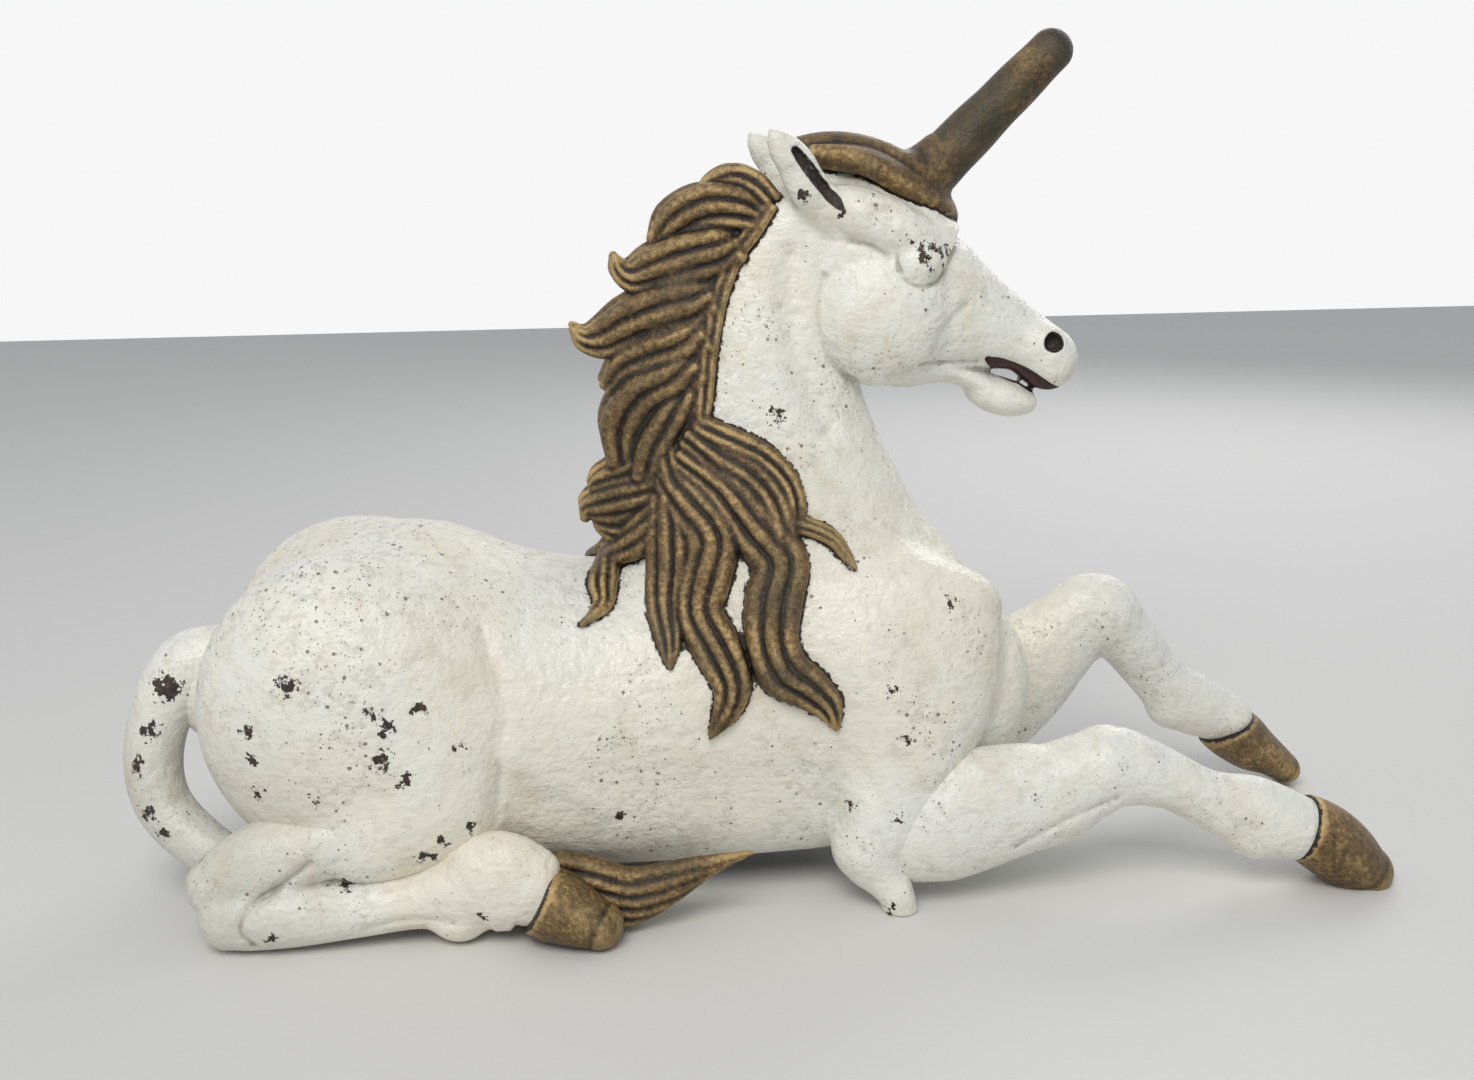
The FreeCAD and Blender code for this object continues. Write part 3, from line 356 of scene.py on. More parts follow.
def head(at):
    """Skull, cheek, brow, eye, muzzle, jaw and ear, with the mouth and the nostril taken out."""
    form = merged(tube(at, HEAD, 40), (
        (egg(at, (160, -7, 265), (13, 15, 14)), 7),
        (egg(at, (154, -14, 275), (10, 8, 9)), 6),
        (tube(at, JAW, 20), 4),
        (egg(at, (137, -4, 246), (17, 12, 8.5), -12), 5),
        (egg(at, (71, -18, 291.5), (35, 25, 35.5)), 2.5),
        (tube(at, BROW, 20), 3),
        (egg(at, (86, -30, 317.5), (14, 11, 11.5)), 4)))
    form = creased(form, at, HEAD_LINES, CLEAR_OF_PLANE)
    form = carve(form, egg(at, NOSTRIL_CENTRE, NOSTRIL_RADII), 1.2)
    form = carve(form, mouth_slot(at), 1.4)
    ear = carve(tube(at, EAR), tube(at, EAR_CUP), 1.6)
    return merge(form, ear, 3)


def body_skin(at, elbow):
    """The whole outer skin on one side; the right side's elbow comes down to a stub on the floor."""
    at = folded(at)
    form = merged(barrel(at, X, TRUNK), (
        (barrel(at, Z, NECK), 24),
        (egg(at, (-198, -46, 110), (70, 43, 76)), 16),
        (egg(at, (-160, -56, 86), (37, 31, 48)), 7),
        (tube(at, LOWER_THIGH, 20, 3), 14),
        (tube(at, BELLY, 20, 3), 12),
        (tube(at, TAIL_ROOT, 20), 14),
        (egg(at, (66, -42, 112), (56, 37, 66)), 12),
        (tube(at, PECTORAL, 20), 10),
        (tube(at, UPPER_ARM if elbow else LEFT_ARM, 20), 9)))
    if elbow:
        form = merge(form, tube(at, ELBOW_STUB), 5)
    return merge(creased(form, at, BODY_LINES, CLEAR_OF_PLANE), head(at), 5)


def hollow(at):
    """The space inside: trunk and neck one wall in, and the opening in the belly."""
    at = folded(at)
    room = merge(barrel(at, X, HOLLOW, WALL + 1), barrel(at, Z, NECK[1:-3], WALL + 1), 10)
    room = merge(room, tube(at, BELLY, 20, 3, WALL + 1), 10)
    straight = np.maximum(np.abs(at[:, X] - OPENING_MIDDLE) - (OPENING_LENGTH - OPENING_WIDTH) / 2, 0)
    slot = np.sqrt(straight ** 2 + at[:, Y] ** 2) - OPENING_WIDTH / 2
    return merge(room, np.maximum(slot, at[:, Z] - 90), 2)


def body(at, elbow):
    """The iron between skin and hollow, above the floor."""
    form = np.maximum(body_skin(at, elbow), -hollow(at))
    return np.maximum(form, -at[:, Z])


# Pitches between the first, coarse places, and how far from one the surface may still be, in coarse steps
COARSE = 4
SURE_REACH = 1.7


def quads_of(form, low, high, pitch):
    """Corners and four-sided faces where form is nought: distances are worked out four pitches apart,
    then a pitch apart where the surface is near, and faces are laid through the change of sign."""
    low, high = np.array(low, float), np.array(high, float)
    coarse = COARSE * pitch
    counts = np.ceil((high - low) / coarse).astype(int) + 1
    middle = (COARSE - 1) / 2 / COARSE
    middles = low + (np.indices(counts).reshape(3, -1).T + middle) * coarse
    rough = form(middles.astype(np.float32)).reshape(counts)
    values = np.where(rough > 0, FAR, -FAR).astype(np.float32)
    for axis in range(3):
        values = np.repeat(values, COARSE, axis=axis)
    cells = np.argwhere(np.abs(rough) < SURE_REACH * coarse)
    steps = np.indices((COARSE, COARSE, COARSE)).reshape(3, -1).T
    places = (cells[:, None] * COARSE + steps).reshape(-1, 3)
    values[tuple(places.T)] = form((low + places * pitch).astype(np.float32))
    grid = openvdb.FloatGrid(FAR)
    grid.copyFromArray(values)
    points, quads = grid.convertToQuads(isovalue=0.0)
    return points.astype(float) * pitch + low, quads.astype(int)


FOUR_WAYS = np.array([(1, -1, -1), (-1, -1, 1), (-1, 1, -1), (1, 1, 1)], float)


def settled(form, at, most=1.0, step=0.3):
    """Corners slid onto the surface: each by its distance over its slope, at most so many millimetres.
    Distance and slope come from four places round the corner, the points of a tetrahedron."""
    around = np.array([form((at + way * step).astype(np.float32)) for way in FOUR_WAYS])
    slope = around.T @ FOUR_WAYS / (4 * step)
    size = np.sum(slope * slope, axis=1) + 1e-3
    move = slope * (around.mean(axis=0) / size)[:, None]
    length = np.linalg.norm(move, axis=1)[:, None] + 1e-9
    return at - move * np.minimum(1, most / length)


def cast(form, low, high, pitch, most=1.0):
    """Corners and faces of a form, the corners settled on it."""
    points, quads = quads_of(form, low, high, pitch)
    return settled(form, points, most), quads


def new_piece(name, points, faces, slot_name, *nodes, flip=False):
    """A piece from corners in millimetres and faces; flip turns the faces of a mirrored one."""
    faces = np.asarray(faces)
    if flip:
        faces = faces[:, ::-1]
    mesh = bpy.data.meshes.new(name)
    mesh.vertices.add(len(points))
    mesh.vertices.foreach_set("co", metres(points).astype(np.float32).ravel())
    sides = faces.shape[1]
    mesh.loops.add(len(faces) * sides)
    mesh.loops.foreach_set("vertex_index", faces.astype(np.int32).ravel())
    mesh.polygons.add(len(faces))
    mesh.polygons.foreach_set("loop_start", np.arange(0, len(faces) * sides, sides, dtype=np.int32))
    mesh.update(calc_edges=True)
    mesh.validate()
    mesh.shade_smooth()
    piece = bpy.data.objects.new(name, mesh)
    scene.collection.objects.link(piece)
    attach(piece, "root")
    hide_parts(*nodes)
    return piece


def places_of(piece):
    """A piece's corners in the sculptor's millimetres."""
    co = np.zeros(len(piece.data.vertices) * 3, np.float32)
    piece.data.vertices.foreach_get("co", co)
    return co.reshape(-1, 3) * 1000 + (MIDDLE, 0, 0)


def note(piece, name, values):
    """A number on every corner, which the paint reads."""
    layer = piece.data.attributes.new(name, "FLOAT", "POINT")
    layer.data.foreach_set("value", np.asarray(values, np.float32))


def halved(points, faces, form, fine_from):
    """One half of a skin: finer faces on the head, then cut along the parting plane and closed there."""
    bm = bmesh.new()
    corners = [bm.verts.new(p) for p in points]
    for face in faces:
        bm.faces.new([corners[k] for k in face])
    busy = [face for face in bm.faces if face.calc_center_median().z > fine_from
            and face.calc_center_median().x > -12]
    edges = list({edge for face in busy for edge in face.edges})
    bmesh.ops.subdivide_edges(bm, edges=edges, cuts=1, use_grid_fill=True)
    bm.verts.ensure_lookup_table()
    at = settled(form, np.array([v.co[:] for v in bm.verts]))
    for vert, place in zip(bm.verts, at):
        vert.co = place
    geometry = list(bm.verts) + list(bm.edges) + list(bm.faces)
    bmesh.ops.bisect_plane(bm, geom=geometry, dist=0.02, plane_co=(0, 0, 0), plane_no=(0, 1, 0),
                           clear_outer=True)
    rim = [edge for edge in bm.edges if edge.is_boundary]
    bmesh.ops.triangle_fill(bm, edges=rim, use_beauty=True)
    for edge in rim:
        edge.smooth = False
    bmesh.ops.triangulate(bm, faces=list(bm.faces))
    bmesh.ops.recalc_face_normals(bm, faces=list(bm.faces))
    bm.verts.index_update()
    points = np.array([v.co[:] for v in bm.verts])
    faces = np.array([[v.index for v in face.verts] for face in bm.faces])
    sharp = np.array([[v.index for v in edge.verts] for edge in bm.edges if not edge.smooth])
    bm.free()
    return points, faces, sharp


def sharpen(piece, pairs):
    """Edges of the parting face stay sharp, so that the skin's own shading isn't bent there."""
    wanted = {tuple(sorted(pair)) for pair in pairs.tolist()}
    ends = np.zeros(len(piece.data.edges) * 2, np.int32)
    piece.data.edges.foreach_get("vertices", ends)
    flags = [tuple(sorted(pair)) in wanted for pair in ends.reshape(-1, 2).tolist()]
    layer = piece.data.attributes.new("sharp_edge", "BOOLEAN", "EDGE")
    layer.data.foreach_set("value", flags)


BODY_LOW, BODY_HIGH = (-292, -104, -6), (184, 10, 392)
BODY_PITCH = 2.3
HEAD_FROM = 236
bodies = {}
for side_name, side, elbow in (("right", -1, True), ("left", 1, False)):
    def form(at, elbow=elbow):
        return body(at, elbow)
    points, quads = quads_of(form, BODY_LOW, BODY_HIGH, BODY_PITCH)
    points, faces, sharp = halved(points, quads, form, HEAD_FROM)
    bodies[side_name] = new_piece("body_" + side_name, points * (1, -side, 1), faces, "cream_enamel",
                                  "body_shell_" + side_name, flip=side == 1)
    sharpen(bodies[side_name], sharp)

# Legs. Each leg is a casting of its own, which starts inside the body and ends at the coronet.
# The right foreleg lies along the floor, the left one is raised at the knee, and both hind
# legs are folded: the shank back to the hock, the cannon forward to the fetlock.
FORELEG_RIGHT = [(62, -63, 29, 11, 15), (72, -64, 33, 18, 24), (88, -65, 40, 20.5, 31),
                 (110, -65, 47, 21, 32), (130, -65, 51, 20.5, 29.5), (150, -65.5, 54, 19.5, 26.5),
                 (168, -66, 62, 18.5, 23), (184, -67, 66, 18, 20.5), (206, -68, 60, 15.5, 15.5),
                 (228, -70, 48.5, 13.5, 15), (250, -71, 40, 15.5, 19.5), (266, -72, 34, 16.5, 19),
                 (279, -72.5, 30, 15.5, 16.5), (288, -73, 27, 13.5, 14.5)]
FORELEG_RIGHT_LINES = [
    ([(128, 33), (153, 47), (178, 56)], 2.6, 1.5),
    ([(206, 45), (228, 33), (250, 18)], 2.5, 1.0),
    ([(195, 79), (186, 88)], 4.0, -0.8)]
FOREARM_LEFT = [(120, 40, 62, 24, 44), (145, 44, 72, 22, 40), (165, 48, 82, 20, 34), (185, 51, 97, 18.5, 27),
                (200, 53, 108, 17.5, 23), (212, 54, 113, 17, 20)]
CANNON_LEFT = [(203, 53, 119, 15, 16), (216, 54, 111, 17, 19), (232, 55, 94, 15.5, 17),
               (246, 57, 77, 13.5, 16), (258, 58, 64, 14, 16.5), (272, 59, 54, 16, 18),
               (284, 60, 48, 15.5, 16.5), (294, 61, 42, 14.5, 15)]
SHANK = [(-262, -68, 30, 13, 15), (-250, -67, 36, 17, 19), (-228, -66, 46, 19, 20), (-198, -64, 54, 21, 20),
         (-168, -62, 60, 22, 22)]
CANNON_HIND = [(-256, -72, 17, 14, 16), (-244, -73, 18, 16.5, 17), (-222, -74, 18, 16, 16),
               (-195, -74, 18.5, 14, 14), (-168, -74, 21, 13.5, 14), (-148, -76, 25, 16, 19),
               (-130, -78, 30, 17.5, 25), (-114, -81, 27, 16, 22), (-106, -83, 22.5, 14, 16)]
HIND_LINES = [
    ([(-214, 47), (-230, 35), (-243, 26), (-248, 17), (-243, 8)], 2.6, 2.4),
    ([(-190, 13), (-168, 17), (-149, 15)], 2.4, 1.2),
    ([(-146, 40), (-139, 26), (-137, 10)], 4.0, 0.9)]


def foreleg_right(at):
    """Upper arm, forearm, cannon and pastern along one path, with the knee and fetlock joint on it."""
    form = merged(tube(at, FORELEG_RIGHT, 20), (
        (egg(at, (176, -66, 70), (15, 19, 17.5)), 4),
        (egg(at, (254, -71, 27), (12, 12, 11)), 6)))
    return np.maximum(creased(form, at, FORELEG_RIGHT_LINES, -66), -at[:, Z])


def foreleg_left(at):
    """Forearm and cannon, with the raised knee, the fetlock joint and the pastern's bulge."""
    return merged(tube(at, FOREARM_LEFT, 20), (
        (tube(at, CANNON_LEFT, 20), 8),
        (egg(at, (214, 54, 113), (19, 18, 19)), 8),
        (egg(at, (258, 58, 52), (12, 12, 11)), 6),
        (egg(at, (296, 60, 46), (11, 15, 10)), 6)))


def hind_leg(at):
    """Shank and cannon folded at the hock, with the ergot under the fetlock."""
    form = merged(tube(at, SHANK, 20), (
        (tube(at, CANNON_HIND, 20), 3),
        (egg(at, (-146, -78, 12), (14, 12, 11)), 5)))
    return np.maximum(creased(form, at, HIND_LINES, -72), -at[:, Z])


LEG_PITCH = 1.4
legs = {}
for name, form, low, high, mirrored in (
        ("foreleg_right", foreleg_right, (30, -96, -4), (316, -36, 100), False),
        ("foreleg_left", foreleg_left, (70, 10, 8), (320, 84, 142), False),
        ("hind_leg_right", hind_leg, (-284, -108, -4), (-80, -34, 90), False),
        ("hind_leg_left", hind_leg, (-284, -108, -4), (-80, -34, 90), True)):
    points, quads = cast(form, low, high, LEG_PITCH)
    points = points * (1, -1 if mirrored else 1, 1)
    legs[name] = new_piece(name, points, quads, "cream_enamel", name, flip=mirrored)

# Tail. One long casting: out of the rump, round behind it and back to the right hock, then
# under the thigh to the tuft.
TAIL = [(-250, 0, 127, 14.5, 15), (-264, 0, 125, 16, 17), (-280, -1, 120.5, 16.5, 18),
        (-293, -4, 102, 15.5, 15.5), (-299, -8, 80, 15, 14.5), (-297, -14, 60, 14.5, 14),
        (-287, -20, 45, 14, 13.5), (-268, -30, 32, 13, 12.5), (-248, -38, 24, 12, 11.5),
        (-210, -45, 14, 11, 11), (-170, -46, 13, 11, 11), (-138, -52, 17, 11, 12), (-118, -58, 22, 9, 12)]


def tail(at):
    """A tube along the tail's path, flat on the floor."""
    return np.maximum(tube(at, TAIL, 20, 8), -at[:, Z])


tail_piece = new_piece("tail", *cast(tail, (-324, -78, -4), (-98, 24, 154), 1.6), "cream_enamel", "tail")

# Enamel. Cream-white paint on the iron, glossy where it is worn smooth, full of fine dark
# pores, and chipped to black iron in places. Distances to chips, gold and mouth are on the corners.
CHIPS = [(167, 688, 6.5), (150, 731, 3.6), (136, 765, 3.2), (148, 814, 3.2), (163, 834, 2.4), (202, 859, 2.0),
         (286, 687, 3.8), (247, 731, 3.2), (251, 761, 2.4), (258, 795, 2.4), (385, 728, 3.4), (418, 710, 2.6),
         (371, 714, 2.0), (382, 760, 3.8), (406, 782, 3.2), (460, 748, 2.2), (314, 801, 2.0), (426, 857, 3.2),
         (345, 886, 2.4), (441, 841, 2.2), (473, 827, 2.0), (482, 917, 1.8), (270, 941, 1.8), (620, 817, 1.6),
         (776, 417, 2.8), (794, 472, 1.6), (953, 602, 2.0), (892, 688, 1.4), (907, 740, 1.6), (850, 805, 2.0),
         (900, 816, 1.8), (889, 908, 2.2), (804, 194, 2.4), (844, 209, 1.8), (933, 247, 1.8), (940, 249, 2.2),
         (947, 251, 1.8), (918, 248, 1.2), (925, 256, 1.4), (931, 270, 1.2), (912, 241, 0.8), (942, 267, 0.8)]


# Rays start in front of the figure, at this depth. Each step goes part of the distance still to go,
# and is no shorter and no longer than so many millimetres.
RAY_START = -240
RAY_STEPS, RAY_PART = 45, 0.85
RAY_SHORTEST, RAY_LONGEST = -4, 60
NEAR_SIDE = -6


def seen(form, spots, lift=0.0):
    """The places of a form that pixels show: steps along their rays by the distance still to go.
    A ray that passes the form keeps its nearest place."""
    here = np.array([sight(column, row, RAY_START) for column, row in spots])
    ways = here - EYE_PLACE
    ways /= np.linalg.norm(ways, axis=1)[:, None]
    nearest = here.copy()
    least = np.full(len(here), 1e6)
    for _ in range(RAY_STEPS):
        gap = form(here.astype(np.float32)) - lift
        better = (np.abs(gap) < least) & (here[:, Y] < NEAR_SIDE)
        nearest[better] = here[better]
        least[better] = np.abs(gap)[better]
        here = here + ways * np.clip(gap * RAY_PART, RAY_SHORTEST, RAY_LONGEST)[:, None]
    return nearest


def white_skin(at):
    """Every white form of the near side."""
    near = np.minimum(body_skin(at, True), foreleg_right(at))
    return np.minimum(near, np.minimum(hind_leg(at), tail(at)))


chip_places = seen(white_skin, [(column, row) for column, row, _ in CHIPS])
chip_sizes = np.array([size for _, _, size in CHIPS])


FAR_SIDE_SHIFT = (9, 0, -6)
FAR_SIDE_SMALLER = 1.0
# Distances are noted on the corners up to this many millimetres
NOTED_MOST = 30


def chip_gap(at):
    """Millimetres to the rim of the nearest chip; the far side has smaller ones, a little further back."""
    here = at.copy()
    far_side = here[:, Y] > 4
    here[far_side] = here[far_side] * (1, -1, 1) + FAR_SIDE_SHIFT
    best = np.full(len(at), FAR)
    for place, size in zip(chip_places, chip_sizes):
        best = np.minimum(best, np.linalg.norm(here - place, axis=1) - size)
    return np.clip(best + far_side * FAR_SIDE_SMALLER, -9, NOTED_MOST)


def bend_of(form, at, step=1.5):
    """How the surface bends, from the distances at four places round each corner; hollows are below
    nought."""
    total = sum(form((at + way * step).astype(np.float32)) for way in FOUR_WAYS)
    return total / (2 * step ** 2)


class Paint:
    """A short hand for a material's nodes: each call makes nodes, links them and gives back the output."""

    def __init__(self, name):
        self.material = bpy.data.materials.new(name)
        self.tree, output = nodes_of(self.material)
        self.shader = self.tree.nodes.new("ShaderNodeBsdfPrincipled")
        self.tree.links.new(self.shader.outputs[0], output.inputs["Surface"])
        self.place = self.tree.nodes.new("ShaderNodeTexCoord").outputs["Object"]

    def put(self, node, key, value):
        socket = node.inputs[key]
        if isinstance(value, bpy.types.NodeSocket):
            self.tree.links.new(value, socket)
        else:
            socket.default_value = value

    def number(self, name):
        """A number from the corners."""
        node = self.tree.nodes.new("ShaderNodeAttribute")
        node.attribute_name = name
        return node.outputs["Fac"]

    def noise(self, scale, detail=2.0, rough=0.5, squash=None):
        node = self.tree.nodes.new("ShaderNodeTexNoise")
        place = self.place
        if squash:
            mapping = self.tree.nodes.new("ShaderNodeMapping")
            self.put(mapping, "Vector", place)
            mapping.inputs["Scale"].default_value = squash
            place = mapping.outputs[0]
        self.put(node, "Vector", place)
        self.put(node, "Scale", scale)
        self.put(node, "Detail", detail)
        self.put(node, "Roughness", rough)
        return node.outputs["Fac"]

    def cells(self, scale):
        """Distance from the nearest of many scattered dots, and a random number for each dot."""
        node = self.tree.nodes.new("ShaderNodeTexVoronoi")
        self.put(node, "Vector", self.place)
        self.put(node, "Scale", scale)
        return node.outputs["Distance"], node.outputs["Color"]

    def sum(self, operation, one, other):
        node = self.tree.nodes.new("ShaderNodeMath")
        node.operation = operation
        self.put(node, 0, one)
        self.put(node, 1, other)
        return node.outputs[0]

    def times(self, one, other):
        return self.sum("MULTIPLY", one, other)

    def plus(self, one, other):
        return self.sum("ADD", one, other)

    def less(self, one, other):
        return self.sum("SUBTRACT", one, other)

    def most(self, *values):
        """The greatest of some values."""
        total = values[0]
        for value in values[1:]:
            total = self.sum("MAXIMUM", total, value)
        return total

    def total(self, *rows):
        """Values times their weights, added up: rows (value, weight)."""
        out = self.times(*rows[0])
        for value, weight in rows[1:]:
            out = self.plus(out, self.times(value, weight))
        return out

    def apart(self, kind, value):
        """The channels of a place or a colour."""
        node = self.tree.nodes.new(kind)
        self.put(node, 0, value)
        return node.outputs

    def step(self, value, low, high, start=0.0, end=1.0):
        """Value drawn out between low and high, smoothly."""
        node = self.tree.nodes.new("ShaderNodeMapRange")
        node.interpolation_type = "SMOOTHSTEP"
        for key, number in (("Value", value), ("From Min", low), ("From Max", high), ("To Min", start),
                            ("To Max", end)):
            self.put(node, key, number)
        return node.outputs["Result"]

    def mix(self, share, one, other):
        node = self.tree.nodes.new("ShaderNodeMix")
        node.data_type = "RGBA"
        self.put(node, 0, share)
        self.put(node, 6, one)
        self.put(node, 7, other)
        return node.outputs[2]

    def ramp(self, value, stops):
        node = self.tree.nodes.new("ShaderNodeValToRGB")
        self.put(node, "Fac", value)
        points = node.color_ramp.elements
        for index, (place, colour) in enumerate(stops):
            point = points[index] if index < 2 else points.new(place)
            point.position = place
            point.color = (*colour, 1)
        return node.outputs["Color"]

    def bump(self, height, distance, strength=1.0):
        node = self.tree.nodes.new("ShaderNodeBump")
        self.put(node, "Height", height)
        self.put(node, "Distance", distance)
        self.put(node, "Strength", strength)
        return node.outputs[0]

    def finish(self, **sockets):
        for key, value in sockets.items():
            self.put(self.shader, key.replace("_", " "), value)
        return self.material


CREAM = (0.85, 0.81, 0.695, 1)
CREAM_DEEP = (0.70, 0.63, 0.49, 1)
CREAM_COOL = (0.83, 0.83, 0.765, 1)
GRIME_AND_SHADE = (0.17, 0.135, 0.09, 1)
IRON = (0.022, 0.018, 0.015, 1)
RUST = (0.085, 0.040, 0.020, 1)
MAROON = (0.055, 0.018, 0.017, 1)
LIP_RED = (0.32, 0.05, 0.045, 1)


def enamel():
    """Cream in clouds with dirt and painted shade in the folds, painted shade low at the back by the hock,
    pores thickest on top of the rump, and bare iron where a ragged edge falls inside a chip, beside the
    gold, in a nostril or inside the casting."""
    paint = Paint("cream_enamel")
    times, plus, less, step, noise, number = (paint.times, paint.plus, paint.less, paint.step, paint.noise,
                                              paint.number)
    along, _, above = paint.apart("ShaderNodeSeparateXYZ", paint.place)
    cloud = noise(34, 4, 0.6)
    fine = noise(420, 3, 0.6)
    hammered = noise(170, 2.5, 0.55)
    colour = paint.mix(step(noise(9, 3), 0.42, 0.62), CREAM, CREAM_COOL)
    colour = paint.mix(times(step(cloud, 0.48, 0.74), 0.6), colour, CREAM_DEEP)
    # Dirt and painted shade: the enamel is darkened where the skin bends into a hollow
    fold_dirt_and_shade = times(step(number("bend"), -0.05, -0.42), step(noise(120, 3), 0.25, 0.7, 0.35, 1.0))
    colour = paint.mix(times(fold_dirt_and_shade, 0.65), colour, GRIME_AND_SHADE)
    rump_top = times(step(above, 0.10, 0.19), step(along, -0.05, -0.17, 0.0, 0.16))
    patch = step(plus(noise(22, 3, 0.6), rump_top), 0.42, 0.70, 0.28, 1.0)
    near, chance = paint.cells(250)
    luck = paint.apart("ShaderNodeSeparateColor", chance)[0]
    size = times(paint.sum("POWER", luck, 2.2), times(patch, 0.30))
    ragged = plus(near, times(less(fine, 0.5), 0.28))
    pore = step(less(size, ragged), -0.02, 0.03)
    near, chance = paint.cells(640)
    luck = paint.apart("ShaderNodeSeparateColor", chance)[1]
    size = times(paint.sum("POWER", luck, 3.0), times(patch, 0.42))
    speck = step(less(size, near), -0.03, 0.05)
    pore = paint.most(pore, times(speck, 0.6))
    colour = paint.mix(times(pore, 0.85), colour, GRIME_AND_SHADE)
    # Painted shade: the enamel is darkened low at the back, by the hock and the tail
    low_rear_shade = times(step(along, -0.19, -0.27), step(above, 0.13, 0.06))
    colour = paint.mix(times(low_rear_shade, 0.24), colour, GRIME_AND_SHADE)
    pit = step(hammered, 0.50, 0.36)
    colour = paint.mix(times(pit, times(patch, 0.20)), colour, GRIME_AND_SHADE)
    blot = times(less(noise(260, 4, 0.7), 0.5), 24.0)
    mouth = step(plus(number("mouth_gap"), times(blot, 0.045)), 0.5, 0.2)
    lip = times(step(noise(300, 2), 0.56, 0.60), step(number("lip"), 0.3, 0.6))
    colour = paint.mix(mouth, colour, paint.mix(lip, MAROON, LIP_RED))
    bare = paint.most(step(plus(number("chip_gap"), blot), 0.0, -0.5),
                      step(plus(number("gold_gap"), times(blot, 0.23)), 1.5, 0.9),
                      step(plus(number("nostril_gap"), times(blot, 0.055)), 1.3, 0.9),
                      step(number("inner"), 0.4, 0.6))
    iron = paint.mix(times(step(noise(500, 2), 0.5, 0.64), 0.8), IRON, RUST)
    colour = paint.mix(bare, colour, iron)
    rough = plus(step(cloud, 0.3, 0.7, 0.30, 0.44), times(bare, 0.3))
    brushed = noise(260, 3, 0.6, (0.35, 1.0, 1.6))
    height = paint.total((fine, 0.30), (brushed, 0.28), (hammered, 0.9), (noise(80, 2), 0.8), (pore, -0.5),
                         (bare, -0.7))
    return paint.finish(Base_Color=colour, Roughness=rough, Normal=paint.bump(height, 0.0014))


enamel_paint = enamel()

# Manes. The hair of each side is a casting that lies on the neck and shoulder: a crest from the
# poll to the withers, tufts that turn up behind it, and wavy locks over the shoulder. A lock is
# three strands side by side along a path of photo pixels, which rests on the skin it covers.
# Millimetres: paths over the skin, hair into the skin, grid of the mane and of the other hair, and the
# most that a corner of the hair moves as it settles
HAIR_LIFT = 1.5
HAIR_SINK = 2.0
MANE_PITCH, HAIR_PITCH = 1.15, 1.1
HAIR_SETTLE = 0.5
# A strand's width over its share of the lock, its height over its half width, and how far the middle
# strand stands out
STRAND_OVERLAP, STRAND_HEIGHT, STRAND_ARCH = 1.25, 1.3, 1.8
# Rows (column, row, depth y or None to lie on the skin, half width in mm)
TUFTS = {
    "poll": [(768, 203, None, 7), (752, 188, -16, 8), (735, 181, -14, 8), (717, 186, -13, 6),
             (702, 196, -12, 2)],
    "upper": [(756, 216, None, 8), (735, 208, -20, 10), (705, 208, -18, 11), (676, 224, -16, 10),
              (657, 245, -14, 4)],
    "first": [(736, 246, None, 9), (716, 252, -22, 11), (686, 260, -20, 12), (656, 270, -17, 11),
              (634, 277, -15, 8), (620, 270, -13, 5), (614, 255, -12, 1.5)],
    "second": [(712, 298, None, 9), (692, 306, -22, 12), (662, 314, -20, 13), (630, 326, -16, 12),
               (602, 340, -13, 9), (582, 339, -12, 5), (571, 327, -11, 1.5)],
    "fifth": [(704, 336, None, 9), (686, 350, -24, 12), (656, 362, -20, 13), (628, 372, -16, 10),
              (610, 390, -13, 6)],
    "sixth": [(697, 368, None, 9), (676, 386, -26, 12), (648, 402, -21, 14), (630, 428, -17, 14),
              (628, 462, -16, 10)],
    "seventh": [(692, 396, None, 8), (676, 424, -28, 11), (660, 452, -26, 11), (652, 478, -24, 10)],
    "third": [(664, 462, -28, 7), (644, 474, -22, 9), (616, 482, -15, 8), (600, 486, -12, 6),
              (590, 491, -10, 2)],
    "fourth": [(664, 492, -28, 8), (636, 500, -21, 10), (608, 506, -15, 9), (588, 510, -11, 5),
               (584, 520, -10, 2)],
    "border": [(770, 206, None, 4), (752, 229, None, 5.5), (735, 252, None, 5.5), (724, 277, None, 5.5),
               (716, 301, None, 5.5), (710, 331, None, 5.5), (705, 362, None, 5.5), (702, 396, None, 5.5),
               (700, 428, None, 4)],
    "under": [(670, 520, None, 8), (648, 526, -22, 9), (622, 530, -16, 8), (602, 526, -12, 4),
              (594, 518, -10, 1.5)],
}
LOCKS = {
    "rear": [(668, 512, None, 9), (640, 536, None, 10), (612, 556, None, 9), (603, 584, None, 7),
             (602, 606, None, 4.5), (580, 627, None, 1)],
    "back": [(668, 500, None, 9), (668, 535, None, 11), (668, 570, None, 11), (665, 604, None, 9),
             (669, 640, None, 6), (670, 669, None, 1.2)],
    "middle": [(664, 474, None, 7), (688, 505, None, 11), (712, 540, None, 12), (704, 584, None, 12),
               (700, 614, None, 11), (718, 650, None, 11), (732, 684, None, 9), (726, 712, None, 6),
               (709, 738, None, 1.2)],
    "long": [(684, 456, None, 8), (722, 486, None, 10), (754, 528, None, 12), (780, 562, None, 13),
             (774, 600, None, 13), (772, 640, None, 12), (784, 672, None, 12), (808, 688, None, 10),
             (828, 706, None, 7), (837, 729, None, 1.5)],
    "shoulder": [(692, 436, None, 8), (718, 458, None, 9), (748, 478, None, 10), (768, 504, None, 10),
                 (778, 536, None, 9), (782, 562, None, 6)],
    "front": [(700, 430, None, 7), (728, 444, None, 8), (760, 460, None, 8), (783, 484, None, 8),
              (791, 510, None, 7), (788, 534, None, 5)],
    "thin": [(782, 520, None, 6), (806, 526, None, 4.5), (832, 538, None, 4), (846, 556, None, 3),
             (856, 570, None, 1)],
    "swirl": [(688, 400, None, 5), (668, 420, None, 7), (664, 452, None, 8), (672, 484, None, 8),
              (690, 516, None, 8), (702, 548, None, 8)],
}
